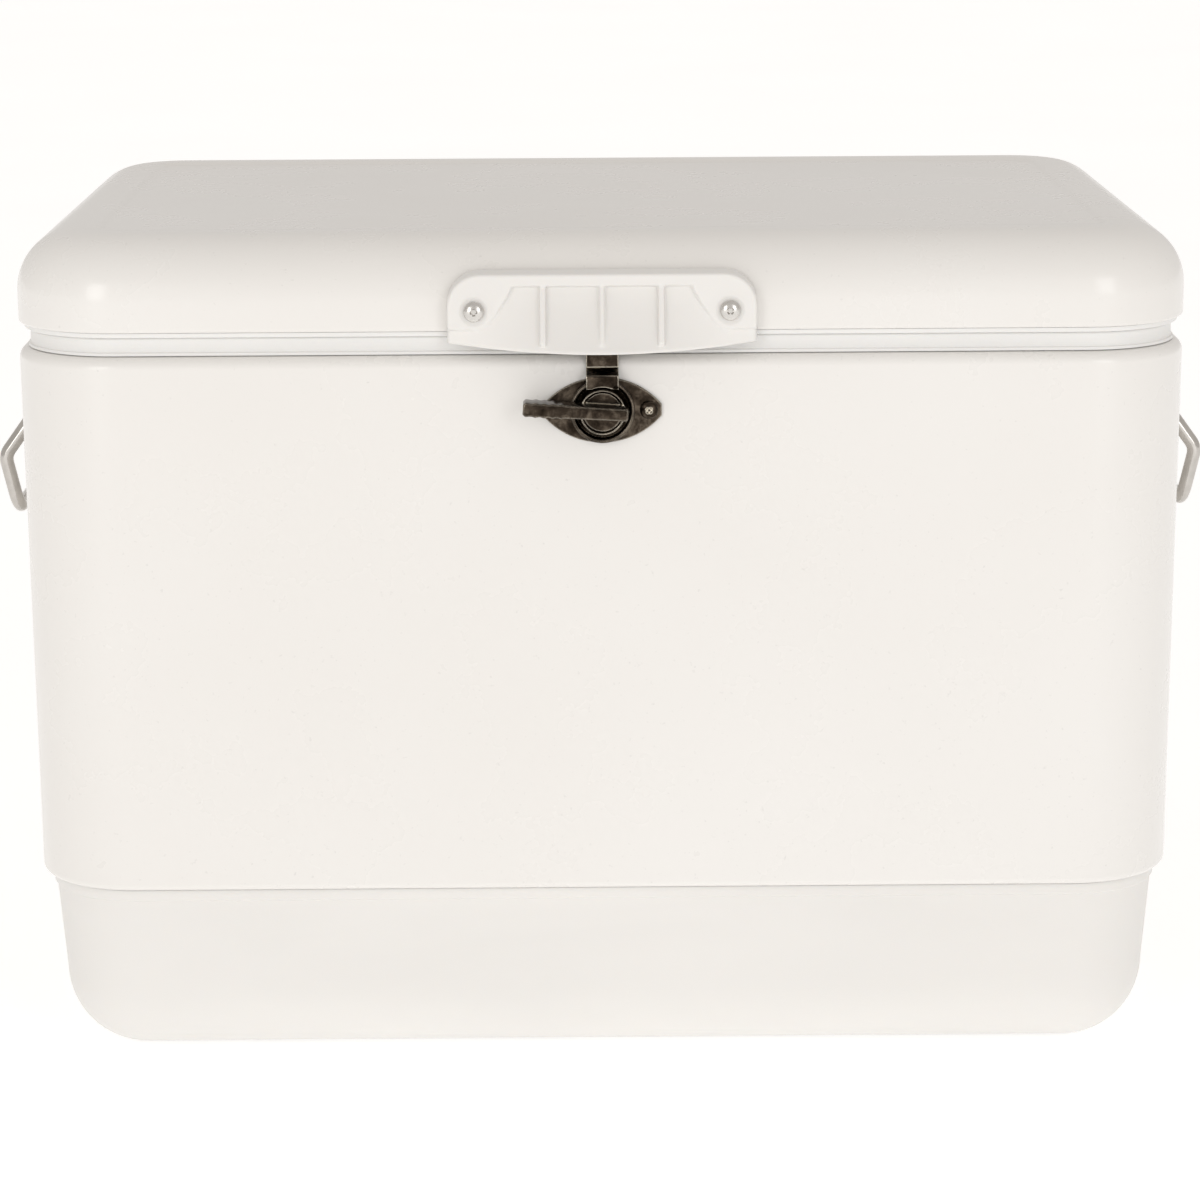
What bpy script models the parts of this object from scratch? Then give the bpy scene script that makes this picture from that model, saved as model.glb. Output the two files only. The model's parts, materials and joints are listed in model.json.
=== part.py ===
"""Steel-belted cooler chest: a hinged, foam-filled lid on an insulated tub, with a turn latch,
two swing-up bail handles and a side drain. Metres, +Z up, origin at the centre of the base's
underside, front face towards -Y."""

import math

import bmesh
import bpy
from mathutils import Euler, Matrix, Vector

MM = 0.001

# Driving dimensions of the body: every wall is given by its inset from this rounded rectangle.
BODY_WIDTH = 600 * MM
BODY_DEPTH = 400 * MM
CORNER_RADIUS = 55 * MM
LEAST_RADIUS = 2 * MM
CORNER_STEPS = 6
GAP = 0.4 * MM  # between solids that touch on the real chest

# Heights, from the ground up.
BASE_SIDE_Z = 43 * MM  # the base's round lower edge ends here
BASE_RIM_Z = 91.4 * MM
BELT_BOTTOM_Z = 98 * MM
BELT_TOP_Z = 378.7 * MM
COLLAR_Z = 380.7 * MM
RIM_TOP_Z = 388.2 * MM
LID_FLANGE_Z = RIM_TOP_Z + 0.3 * MM
LID_BOTTOM_Z = 391.2 * MM
LID_TOP_Z = 438.4 * MM

# Wall thicknesses.
BELT_SHEET = 0.8 * MM
LID_SHEET = 1.0 * MM
BASE_WALL = 3.0 * MM
LINER_WALL = 2.5 * MM
LID_LINER_WALL = 1.8 * MM

# Insets of the walls.
BELT_TAPER = 1.6 * MM
BELT_TOP_ROLL = 6 * MM
BELT_BOTTOM_ROLL = 4 * MM
BASE_LOW_INSET = 12.2 * MM
BASE_HIGH_INSET = 8.4 * MM
BASE_BAND_INSET = 7.2 * MM
BASE_UPSTAND_INSET = 9.0 * MM
BASE_UPSTAND_Z = 112 * MM
NECK_INSET = 6 * MM
COLLAR_INSET = 4.8 * MM

# The cavity that the ice and drinks go in.
CAVITY_TOP_INSET = 36 * MM
CAVITY_LOW_INSET = 48 * MM
CAVITY_RADIUS = 40 * MM
CAVITY_FLOOR_Z = 50 * MM
CAVITY_FILLET = 12 * MM

# Lid.
LID_EDGE_RADIUS = 31.6 * MM
LID_PANEL_INSET = 45 * MM
LID_PANEL_DEPTH = 1.4 * MM
LID_PLUG_INSET = 41 * MM
LID_PLUG_DEPTH = 12 * MM
LID_FLANGE_INSET = 3 * MM

# Lid handle: the moulded pull on the lid's front.
HANDLE_WIDTH = 155 * MM
HANDLE_TOP_Z = 421.2 * MM
HANDLE_LEDGE_Z = 415 * MM  # underside of the ledge along its top
HANDLE_LIP_Z = 382 * MM
HANDLE_END_Z = 386 * MM
HANDLE_FRAME_DEPTH = 9 * MM
HANDLE_ROOT_DEPTH = 5.5 * MM
HANDLE_LIP_DEPTH = 19.5 * MM
HANDLE_END_DEPTH = 4 * MM
HANDLE_WALL = 2.6 * MM
HANDLE_CORNER = 17 * MM
HANDLE_SCREW_X = 64 * MM
HANDLE_SCREW_Z = 402.5 * MM
PAD_BOTTOM_Z = 393.5 * MM
PAD_EDGE_TOP = 45 * MM
PAD_EDGE_BOTTOM = 58 * MM
RIB_PITCH = 29.6 * MM
RIB_WIDTH = 3.2 * MM

# Turn latch, centred on its spindle.
LATCH_Z = 351.2 * MM
LATCH_PLATE_WIDTH = 64 * MM
LATCH_PLATE_HEIGHT = 33.4 * MM
LATCH_PLATE_SHEET = 1.4 * MM
LATCH_SCREW_X = 23.5 * MM
HOUSING_RADIUS = 16.4 * MM
HOUSING_BORE = 13.2 * MM
HOUSING_DEPTH = 4.2 * MM
HUB_RADIUS = 11.5 * MM
HUB_DEPTH = 6 * MM
SPINDLE_RADIUS = 4 * MM
SPINDLE_BORE = 4.5 * MM
LEVER_LEFT = 40 * MM
LEVER_RIGHT = 12.7 * MM
LEVER_THICKNESS = 7.4 * MM
LEVER_DEPTH = 11.5 * MM
LEVER_TILT = math.radians(3.5)
LEVER_RISE = 1.2 * MM
RETAINER_RADIUS = 6.5 * MM

# Catch strap, from under the lid handle down to the latch.
STRAP_WIDTH = 16.3 * MM
STRAP_SHEET = 1.6 * MM
STRAP_TOP_Z = 412 * MM
STRAP_BEND_Z = 372 * MM
STRAP_END_Z = 362.6 * MM
STRAP_STEP = 6 * MM

# Side bail handles.
BAIL_ROD = 3.75 * MM
BAIL_HALF_WIDTH = 58 * MM
BAIL_PIVOT_OUT = 6.8 * MM  # outside the belt's face
BAIL_PIVOT_Z = 327 * MM
BAIL_KNEE = (17.5 * MM, -24 * MM)  # outwards and up from the pivot
BAIL_GRIP = (11 * MM, -53 * MM)
BAIL_BEND = 9 * MM
BAIL_END = 36 * MM
BARREL_RADIUS = 5.7 * MM
BARREL_BORE = 4.25 * MM
BARREL_HALF_LENGTH = 49 * MM
BRACKET_HALF_LENGTH = 78 * MM
BRACKET_HALF_HEIGHT = 16 * MM
BRACKET_SHEET = 1.8 * MM
BRACKET_SCREW = (69 * MM, 8.5 * MM)

# Rear hinges.
HINGE_X = 170 * MM
HINGE_LENGTH = 60 * MM
HINGE_SHEET = 1.6 * MM
KNUCKLE_RADIUS = 4 * MM
KNUCKLE_COUNT = 5
KNUCKLE_BORE = 2 * MM
PIN_RADIUS = 1.6 * MM
HINGE_Z = 389.8 * MM
LID_LEAF_TOP_Z = 407 * MM
BODY_LEAF_BOTTOM_Z = 348 * MM
HINGE_SCREW_PITCH = 20 * MM
LID_LEAF_SCREW_Z = 400.8 * MM
BODY_LEAF_SCREW_Z = 357 * MM

# Drain, low on the right side.
DRAIN_Z = 62 * MM
DRAIN_OUTER = 8.5 * MM
DRAIN_INNER = 6.5 * MM
DRAIN_INSIDE_X = 249 * MM
DRAIN_OUTSIDE_X = 299 * MM
NUT_RADIUS = 15 * MM
NUT_THICKNESS = 4 * MM
GASKET_THICKNESS = 1.5 * MM
CAP_RADIUS = 12.5 * MM

# Screw holes.
SHANK_BORE = 2.4 * MM

FRONT = -BODY_DEPTH / 2
REAR = BODY_DEPTH / 2
SIDE = BODY_WIDTH / 2
HINGE_Y = REAR + GAP + KNUCKLE_RADIUS

# Turns that point a shape's own +Z out of each face.
FACE_TURN = {
    "front": (math.pi / 2, 0, 0),
    "rear": (-math.pi / 2, 0, 0),
    "right": (0, math.pi / 2, 0),
    "left": (0, -math.pi / 2, 0),
}

COLOURS = {
    "white_paint": ((0.83, 0.82, 0.80), 0.25, 0.0),
    "white_plastic": ((0.80, 0.79, 0.77), 0.45, 0.0),
    "liner_plastic": ((0.85, 0.85, 0.84), 0.40, 0.0),
    "foam": ((0.80, 0.72, 0.50), 0.90, 0.0),
    "nickel": ((0.62, 0.58, 0.52), 0.25, 1.0),
    "zinc": ((0.70, 0.69, 0.67), 0.30, 1.0),
    "chrome": ((0.75, 0.74, 0.72), 0.12, 1.0),
    "rubber": ((0.05, 0.05, 0.05), 0.80, 0.0),
}


def clear_scene():
    for obj in list(bpy.data.objects):
        bpy.data.objects.remove(obj)


def new_collection(name):
    collection = bpy.data.collections.new(name)
    bpy.context.scene.collection.children.link(collection)
    return collection


def make_material(name):
    colour, roughness, metallic = COLOURS[name]
    material = bpy.data.materials.new(name)
    material.use_nodes = True
    shader = material.node_tree.nodes["Principled BSDF"]
    shader.inputs["Base Color"].default_value = (*colour, 1)
    shader.inputs["Roughness"].default_value = roughness
    shader.inputs["Metallic"].default_value = metallic
    return material


clear_scene()
PARTS = new_collection("cooler_chest")
CUTTERS = new_collection("cutters")
MATERIALS = {name: make_material(name) for name in COLOURS}


# ---------------------------------------------------------------- objects and modifiers


def add_part(name, data, material, location=(0, 0, 0), rotation=(0, 0, 0)):
    obj = bpy.data.objects.new(name, data)
    obj.location = location
    obj.rotation_euler = rotation
    PARTS.objects.link(obj)
    if not data.materials:
        data.materials.append(MATERIALS[material])
    return obj


def on_pivot(name, location, pieces):
    """Hangs pieces on an empty that sits on their joint's axis, and leaves them where they are."""
    pivot = bpy.data.objects.new(name, None)
    pivot.location = location
    PARTS.objects.link(pivot)
    bpy.context.view_layer.update()
    for piece in pieces:
        piece.parent = pivot
        piece.matrix_parent_inverse = pivot.matrix_world.inverted()


def as_cutter(obj):
    """Turns an object into a helper that is left out of the build."""
    PARTS.objects.unlink(obj)
    CUTTERS.objects.link(obj)
    obj.hide_render = True
    obj.display_type = "WIRE"
    return obj


def boolean(target, cutter, operation="DIFFERENCE", use_self=False):
    modifier = target.modifiers.new(operation.lower() + "_" + cutter.name, "BOOLEAN")
    modifier.operation = operation
    modifier.solver = "EXACT"
    modifier.use_self = use_self
    modifier.object = cutter


def solidify(obj, thickness):
    """Thickens an open surface backwards, away from the side that shows."""
    modifier = obj.modifiers.new("thickness", "SOLIDIFY")
    modifier.thickness = thickness
    modifier.offset = -1
    modifier.use_even_offset = True
    modifier.use_quality_normals = True


def smooth(obj, degrees=35):
    obj.data.shade_smooth()
    obj.data.set_sharp_from_angle(angle=math.radians(degrees))
    return obj


# ---------------------------------------------------------------- shapes


def rounded_rectangle(half_x, half_y, radius, z):
    """A ring of points, anticlockwise from above."""
    points = []
    for sx, sy, start in ((1, -1, -90), (1, 1, 0), (-1, 1, 90), (-1, -1, 180)):
        for step in range(CORNER_STEPS + 1):
            angle = math.radians(start + 90 * step / CORNER_STEPS)
            x = sx * (half_x - radius) + radius * math.cos(angle)
            y = sy * (half_y - radius) + radius * math.sin(angle)
            points.append((x, y, z))
    return points


def body_ring(inset, z, radius=None):
    """A ring this far inside the body's outline; its corners keep the outline's centre."""
    if radius is None:
        radius = max(CORNER_RADIUS - inset, LEAST_RADIUS)
    return rounded_rectangle(SIDE - inset, REAR - inset, radius, z)


def arc(centre_inset, centre_z, radius, start, end, steps):
    """(inset, z) pairs round an arc: 0 degrees points outwards and 90 up."""
    pairs = []
    for step in range(steps + 1):
        angle = math.radians(start + (end - start) * step / steps)
        pairs.append((centre_inset - radius * math.cos(angle), centre_z + radius * math.sin(angle)))
    return pairs


def loft(name, rings, material, cap_start=False, cap_end=False, flip=False):
    """A skin through rings of equal point counts. It faces outwards where it rises, unless flipped."""
    mesh = bmesh.new()
    loops = [[mesh.verts.new(point) for point in ring] for ring in rings]
    count = len(loops[0])
    for lower, upper in zip(loops, loops[1:]):
        for i in range(count):
            j = (i + 1) % count
            mesh.faces.new((lower[i], lower[j], upper[j], upper[i]))
    if cap_start:
        mesh.faces.new(loops[0][::-1])
    if cap_end:
        mesh.faces.new(loops[-1])
    if flip:
        bmesh.ops.reverse_faces(mesh, faces=mesh.faces)
    data = bpy.data.meshes.new(name)
    mesh.to_mesh(data)
    mesh.free()
    return smooth(add_part(name, data, material))


def turned(name, profile, material, location=(0, 0, 0), rotation=(0, 0, 0), steps=24):
    """A turned piece: (radius, height) pairs from the top, down the outside, to the bottom."""
    data = bpy.data.meshes.new(name)
    points = [(radius, 0, height) for radius, height in profile]
    data.from_pydata(points, [(i, i + 1) for i in range(len(points) - 1)], [])
    obj = add_part(name, data, material, location, rotation)
    modifier = obj.modifiers.new("turn", "SCREW")
    modifier.steps = steps
    modifier.render_steps = steps
    modifier.use_merge_vertices = True
    modifier.merge_threshold = 0.00001
    return obj


def tube_ring(name, outer, inner, low, high, material, location, rotation, steps=24):
    """A plain ring between two heights: a washer, a nut or a sleeve."""
    profile = [(inner, low), (inner, high), (outer, high), (outer, low), (inner, low)]
    return turned(name, profile, material, location, rotation, steps)


def cylinder(name, radius, low, high, material, location, rotation, sides=16):
    mesh = bmesh.new()
    bmesh.ops.create_cone(
        mesh, cap_ends=True, segments=sides, radius1=radius, radius2=radius, depth=high - low
    )
    bmesh.ops.translate(mesh, vec=(0, 0, (high + low) / 2), verts=mesh.verts)
    data = bpy.data.meshes.new(name)
    mesh.to_mesh(data)
    mesh.free()
    return smooth(add_part(name, data, material, location, rotation))


def box(name, low, high, material="white_plastic"):
    mesh = bmesh.new()
    bmesh.ops.create_cube(mesh, size=1)
    size = Vector(high) - Vector(low)
    bmesh.ops.scale(mesh, vec=size, verts=mesh.verts)
    bmesh.ops.translate(mesh, vec=(Vector(high) + Vector(low)) / 2, verts=mesh.verts)
    data = bpy.data.meshes.new(name)
    mesh.to_mesh(data)
    mesh.free()
    return add_part(name, data, material)


def as_mesh(drawn, material):
    """Replaces a curve, or a turned shape, by the closed mesh that it draws, for Booleans to read."""
    name = drawn.name
    bpy.context.view_layer.update()
    world = drawn.matrix_world.copy()
    graph = bpy.context.evaluated_depsgraph_get()
    data = bpy.data.meshes.new_from_object(drawn.evaluated_get(graph))
    bpy.data.objects.remove(drawn)
    mesh = bmesh.new()
    mesh.from_mesh(data)
    bmesh.ops.remove_doubles(mesh, verts=mesh.verts, dist=0.000001)
    bmesh.ops.recalc_face_normals(mesh, faces=mesh.faces)
    mesh.to_mesh(data)
    mesh.free()
    data.materials.clear()
    obj = add_part(name, data, material)
    obj.matrix_world = world
    return smooth(obj)


def extruded(name, outline, low, high, material, location=(0, 0, 0), rotation=(0, 0, 0)):
    """A flat outline, given by (x, y) points, drawn out from low to high along its own Z."""
    curve = bpy.data.curves.new(name, "CURVE")
    curve.dimensions = "2D"
    curve.fill_mode = "BOTH"
    curve.extrude = (high - low) / 2
    spline = curve.splines.new("POLY")
    spline.points.add(len(outline) - 1)
    for point, (x, y) in zip(spline.points, outline):
        point.co = (x, y, 0, 1)
    spline.use_cyclic_u = True
    obj = bpy.data.objects.new(name, curve)
    PARTS.objects.link(obj)
    turn = Matrix.LocRotScale(Vector(location), Euler(rotation), None)
    obj.matrix_world = turn @ Matrix.Translation((0, 0, (high + low) / 2))
    return as_mesh(obj, material)




def bores(name, places, radius, depth, face):
    """One cutter holding a cylinder at each place, running both ways along the face's axis."""
    turn = Matrix.LocRotScale(None, Euler(FACE_TURN[face]), None)
    mesh = bmesh.new()
    for place in places:
        bmesh.ops.create_cone(
            mesh,
            cap_ends=True,
            segments=12,
            radius1=radius,
            radius2=radius,
            depth=2 * depth,
            matrix=Matrix.Translation(place) @ turn,
        )
    data = bpy.data.meshes.new(name)
    mesh.to_mesh(data)
    mesh.free()
    return as_cutter(add_part(name, data, "zinc"))


def fastener(name, place, face, material="zinc", head=(4.7, 2.6), shank=(2.0, 12.0), steps=10):
    """A round-headed screw or rivet: its head, in millimetres of radius and height, stands on the
    given place, and its shank, in radius and length, runs inwards."""
    head_radius, head_height = (size * MM for size in head)
    shank_radius, shank_length = (size * MM for size in shank)
    profile = [
        (0, head_height),
        (head_radius * 0.55, head_height * 0.9),
        (head_radius * 0.9, head_height * 0.55),
        (head_radius, 0),
        (shank_radius, 0),
        (shank_radius, -shank_length),
        (0, -shank_length - shank_radius),
    ]
    return turned(name, profile, material, place, FACE_TURN[face], steps)


def fillet(corners, radius, steps=4):
    """Rounds the inner corners of a path of 3D points."""
    corners = [Vector(corner) for corner in corners]
    path = [corners[0]]
    for before, corner, after in zip(corners, corners[1:], corners[2:]):
        into = (corner - before).normalized()
        out = (after - corner).normalized()
        turn = into.angle(out)
        reach = radius * math.tan(turn / 2)
        start = corner - into * reach
        centre = start + (out - into * into.dot(out)).normalized() * radius
        axis = into.cross(out).normalized()
        for step in range(steps + 1):
            spin = Matrix.Rotation(turn * step / steps, 3, axis)
            path.append(centre + spin @ (start - centre))
    path.append(corners[-1])
    return path


# ---------------------------------------------------------------- tub


def make_base_tub():
    profile = arc(BASE_LOW_INSET + BASE_SIDE_Z, BASE_SIDE_Z, BASE_SIDE_Z, -90, 0, 6)
    profile += [
        (BASE_HIGH_INSET, BASE_RIM_Z - 0.2 * MM),
        (BASE_BAND_INSET, BASE_RIM_Z + 0.4 * MM),
        (BASE_BAND_INSET, BELT_BOTTOM_Z - GAP),
        (BASE_UPSTAND_INSET, BELT_BOTTOM_Z - GAP),
        (BASE_UPSTAND_INSET, BASE_UPSTAND_Z),
    ]
    rings = [body_ring(inset, z) for inset, z in profile]
    obj = loft("base_tub", rings, "white_plastic", cap_start=True)
    solidify(obj, BASE_WALL)
    return obj


def make_steel_belt():
    low = arc(
        BELT_TAPER + BELT_BOTTOM_ROLL, BELT_BOTTOM_Z + BELT_BOTTOM_ROLL, BELT_BOTTOM_ROLL, -90, 0, 3
    )
    high = arc(BELT_TOP_ROLL, BELT_TOP_Z - BELT_TOP_ROLL, BELT_TOP_ROLL, 0, 90, 3)
    rings = [body_ring(inset, z) for inset, z in low + high]
    obj = loft("steel_belt", rings, "white_paint")
    solidify(obj, BELT_SHEET)
    return obj


def cavity_ring(inset, z, offset=0.0):
    """A ring of the cavity; offset moves it outwards, into the wall."""
    return body_ring(inset - offset, z, CAVITY_RADIUS + offset)


def floor_fillet(offset, steps=3):
    """Rings round the cavity's floor edge, moved outwards and down by offset."""
    centre_inset = CAVITY_LOW_INSET + CAVITY_FILLET
    centre_z = CAVITY_FLOOR_Z + CAVITY_FILLET
    radius = CAVITY_FILLET + offset
    rings = []
    for inset, z in arc(centre_inset, centre_z, radius, -90, 0, steps):
        corner = CAVITY_RADIUS + offset - (inset - (CAVITY_LOW_INSET - offset))
        rings.append(body_ring(inset, z, corner))
    return rings


def make_inner_liner():
    rings = floor_fillet(0.0)
    rings.append(cavity_ring(CAVITY_TOP_INSET, RIM_TOP_Z - 3 * MM))
    rings.append(cavity_ring(CAVITY_TOP_INSET - 3 * MM, RIM_TOP_Z))
    rings.append(body_ring(NECK_INSET + 1.5 * MM, RIM_TOP_Z))
    rings.append(body_ring(NECK_INSET, RIM_TOP_Z - 1.5 * MM))
    rings.append(body_ring(NECK_INSET, COLLAR_Z))
    rings.append(body_ring(COLLAR_INSET, COLLAR_Z - 0.6 * MM))
    rings.append(body_ring(COLLAR_INSET, BELT_TOP_Z + GAP))
    obj = loft("inner_liner", rings, "liner_plastic", cap_start=True, flip=True)
    solidify(obj, LINER_WALL)
    return obj


def make_body_foam():
    wall = BASE_WALL + 1.25 * GAP
    outer = arc(BASE_LOW_INSET + BASE_SIDE_Z, BASE_SIDE_Z, BASE_SIDE_Z - wall, -90, 0, 5)
    belt_inset = BELT_TAPER + BELT_SHEET + 1.5 * GAP
    outer += [
        (BASE_HIGH_INSET + wall, BASE_RIM_Z - 1 * MM),
        (BASE_UPSTAND_INSET + wall, BASE_RIM_Z),
        (BASE_UPSTAND_INSET + wall, BASE_UPSTAND_Z + GAP),
        (belt_inset, BASE_UPSTAND_Z + GAP),
        (belt_inset, BELT_TOP_Z - 1.3 * BELT_TOP_ROLL),
        (NECK_INSET + LINER_WALL + GAP, BELT_TOP_Z - GAP - BELT_SHEET),
        (NECK_INSET + LINER_WALL + GAP, RIM_TOP_Z - LINER_WALL - GAP),
    ]
    rings = [body_ring(inset, z) for inset, z in outer]
    skin = LINER_WALL + 2 * GAP
    rings.append(cavity_ring(CAVITY_TOP_INSET, RIM_TOP_Z - 5 * MM, skin))
    rings += floor_fillet(skin)[::-1]
    return loft("body_foam", rings, "foam", cap_start=True, cap_end=True)


# ---------------------------------------------------------------- lid


def make_lid_shell():
    profile = [(9 * MM, LID_BOTTOM_Z)]
    profile += arc(1.5 * MM, LID_BOTTOM_Z + 1.5 * MM, 1.5 * MM, -90, 0, 2)
    profile += arc(LID_EDGE_RADIUS, LID_TOP_Z - LID_EDGE_RADIUS, LID_EDGE_RADIUS, 0, 90, 6)
    profile += [
        (LID_PANEL_INSET - 4 * MM, LID_TOP_Z),
        (LID_PANEL_INSET, LID_TOP_Z - LID_PANEL_DEPTH),
    ]
    rings = [body_ring(inset, z) for inset, z in profile]
    obj = loft("lid_shell", rings, "white_paint", cap_end=True)
    solidify(obj, LID_SHEET)
    return obj


def plug_ring(inset, z):
    """A ring of the lid's plug, whose corners follow the cavity's."""
    return body_ring(inset, z, CAVITY_RADIUS - (inset - CAVITY_TOP_INSET))


def make_lid_liner():
    plug_z = LID_FLANGE_Z - LID_PLUG_DEPTH
    rings = [
        plug_ring(LID_PLUG_INSET + 5 * MM, plug_z),
        plug_ring(LID_PLUG_INSET + 2 * MM, plug_z + 2 * MM),
        plug_ring(LID_PLUG_INSET, LID_FLANGE_Z),
        body_ring(LID_FLANGE_INSET + 0.6 * MM, LID_FLANGE_Z),
        body_ring(LID_FLANGE_INSET, LID_FLANGE_Z + 0.6 * MM),
        body_ring(LID_FLANGE_INSET, LID_BOTTOM_Z - GAP),
    ]
    obj = loft("lid_liner", rings, "liner_plastic", cap_start=True)
    solidify(obj, LID_LINER_WALL)
    return obj


def make_lid_foam():
    skin = LID_LINER_WALL + GAP
    low_z = LID_FLANGE_Z - LID_PLUG_DEPTH + skin
    ledge_z = LID_BOTTOM_Z + LID_SHEET + GAP
    side = LID_SHEET + GAP
    rings = [
        plug_ring(LID_PLUG_INSET + 5 * MM + skin, low_z),
        plug_ring(LID_PLUG_INSET + 2 * MM + skin, low_z + 3 * MM),
        plug_ring(LID_PLUG_INSET + 0.5 * MM + skin, ledge_z),
    ]
    profile = [(side, ledge_z)]
    profile += arc(
        LID_EDGE_RADIUS, LID_TOP_Z - LID_EDGE_RADIUS, LID_EDGE_RADIUS - side, 0, 90, 5
    )
    profile += [
        (LID_PANEL_INSET - 4 * MM, LID_TOP_Z - side),
        (LID_PANEL_INSET, LID_TOP_Z - LID_PANEL_DEPTH - 1.2 * side),
    ]
    rings += [body_ring(inset, z) for inset, z in profile]
    return loft("lid_foam", rings, "foam", cap_start=True, cap_end=True)


# ---------------------------------------------------------------- lid handle and catch


def handle_top(x):
    """The handle's upper edge, with its round corners."""
    past = max(abs(x) - (HANDLE_WIDTH / 2 - HANDLE_CORNER), 0)
    return HANDLE_TOP_Z - HANDLE_CORNER + math.sqrt(max(HANDLE_CORNER**2 - past**2, 0))


def handle_bottom(x):
    """The handle's lower edge, which bows down in the middle."""
    return HANDLE_END_Z - (HANDLE_END_Z - HANDLE_LIP_Z) * (1 - (2 * x / HANDLE_WIDTH) ** 2)


def pad_edge(z):
    """Where the flat pad round each screw begins, out from the middle: an S from top to bottom."""
    share = min(max((HANDLE_LEDGE_Z - z) / (HANDLE_LEDGE_Z - PAD_BOTTOM_Z), 0), 1)
    return PAD_EDGE_TOP + (PAD_EDGE_BOTTOM - PAD_EDGE_TOP) * share**1.4


def skirt_depth(x, z):
    """How far the flared pull stands out from the lid."""
    share = min(max((HANDLE_LEDGE_Z - z) / (HANDLE_LEDGE_Z - HANDLE_LIP_Z), 0), 1)
    lip = HANDLE_END_DEPTH + (HANDLE_LIP_DEPTH - HANDLE_END_DEPTH) * (1 - (2 * x / HANDLE_WIDTH) ** 2)
    return HANDLE_ROOT_DEPTH + (lip - HANDLE_ROOT_DEPTH) * share**1.5


def rib_depth(z):
    share = min(max((HANDLE_LEDGE_Z - z) / (HANDLE_LEDGE_Z - HANDLE_LIP_Z), 0), 1)
    return HANDLE_FRAME_DEPTH - 0.5 * MM + (HANDLE_LIP_DEPTH - HANDLE_FRAME_DEPTH) * share


def handle_columns():
    """(x of a column at a height, what it lies on), from the right edge to the middle."""
    edge = HANDLE_WIDTH / 2
    columns = [(lambda z, x=edge - inset * MM: x, "pad") for inset in (0, 0.6, 2.5, 6, 10, 14)]
    columns.append((lambda z: pad_edge(z) + 0.8 * MM, "pad"))
    columns.append((lambda z: pad_edge(z) - 0.8 * MM, "skirt"))
    for middle in (RIB_PITCH, 0):
        half = RIB_WIDTH / 2
        if middle:
            columns.append((lambda z: RIB_PITCH + 7 * MM, "skirt"))
        columns.append((lambda z, x=middle + half + 0.6 * MM: x, "skirt"))
        columns.append((lambda z, x=middle + half: x, "rib"))
        if middle:
            columns.append((lambda z, x=middle - half: x, "rib"))
            columns.append((lambda z, x=middle - half - 0.6 * MM: x, "skirt"))
            columns.append((lambda z: 15 * MM, "skirt"))
    return columns


def handle_depths(x, z, lies_on, row):
    """(front, back) distances from the lid's face at one point of the handle."""
    ledge = row in ("edge", "round", "ledge")
    pad = lies_on == "pad" and row != "skirt"
    skirt = skirt_depth(x, z)
    front = skirt
    if lies_on == "rib" and row != "lip":
        front = max(front, rib_depth(z))
    if ledge or pad:
        front = HANDLE_FRAME_DEPTH
    back = max(GAP, skirt - HANDLE_WALL)
    if pad or row in ("edge", "round"):
        back = GAP
    if row == "edge":
        front -= 2.2 * MM
    if row == "round":
        front -= 0.6 * MM
    return front, min(back, front - 1.2 * MM)


def handle_rows():
    """(height at the middle of the handle, what it lies on), from the top down."""
    rows = [(HANDLE_TOP_Z, "edge"), (HANDLE_TOP_Z - 0.7 * MM, "round")]
    rows += [(HANDLE_TOP_Z - 2.4 * MM, "ledge"), (HANDLE_LEDGE_Z, "ledge")]
    rows += [(z * MM, "middle") for z in (414.2, 410, 406, 402.5, 398, 394.5)]
    rows += [(z * MM, "skirt") for z in (393, 389, 386)]
    return rows + [(HANDLE_LIP_Z + 1.4 * MM, "lip"), (HANDLE_LIP_Z, "lip")]


def make_lid_handle():
    """A ledge, two screw pads and a ribbed skirt that flares out to the lip, hollow behind."""
    columns = handle_columns()
    columns = [(f, on, 1) for f, on in columns] + [(f, on, -1) for f, on in columns[::-1]]
    rows = handle_rows()
    mesh = bmesh.new()
    sheets = [[], []]
    for height, row in rows:
        share = (height - HANDLE_LIP_Z) / (HANDLE_TOP_Z - HANDLE_LIP_Z)
        lines = [[], []]
        for column, lies_on, sign in columns:
            x = column(height)
            z = handle_bottom(x) + share * (handle_top(x) - handle_bottom(x))
            front, back = handle_depths(x, z, lies_on, row)
            rise = 1.3 * MM if row == "edge" else 0
            lines[0].append(mesh.verts.new((sign * x, FRONT - front, z)))
            lines[1].append(mesh.verts.new((sign * x, FRONT - back, z + rise)))
        for sheet, line in zip(sheets, lines):
            sheet.append(line)
    front, back = sheets
    for i in range(len(rows) - 1):
        for j in range(len(columns) - 1):
            mesh.faces.new((front[i][j], front[i][j + 1], front[i + 1][j + 1], front[i + 1][j]))
            mesh.faces.new((back[i][j], back[i + 1][j], back[i + 1][j + 1], back[i][j + 1]))
        for j, sign in ((0, 1), (-1, -1)):
            quad = (front[i][j], front[i + 1][j], back[i + 1][j], back[i][j])
            mesh.faces.new(quad[::sign])
    for j in range(len(columns) - 1):
        mesh.faces.new((front[0][j], back[0][j], back[0][j + 1], front[0][j + 1]))
        mesh.faces.new((front[-1][j], front[-1][j + 1], back[-1][j + 1], back[-1][j]))
    bmesh.ops.recalc_face_normals(mesh, faces=mesh.faces)
    data = bpy.data.meshes.new("lid_handle")
    mesh.to_mesh(data)
    mesh.free()
    return smooth(add_part("lid_handle", data, "white_plastic"))


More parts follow.
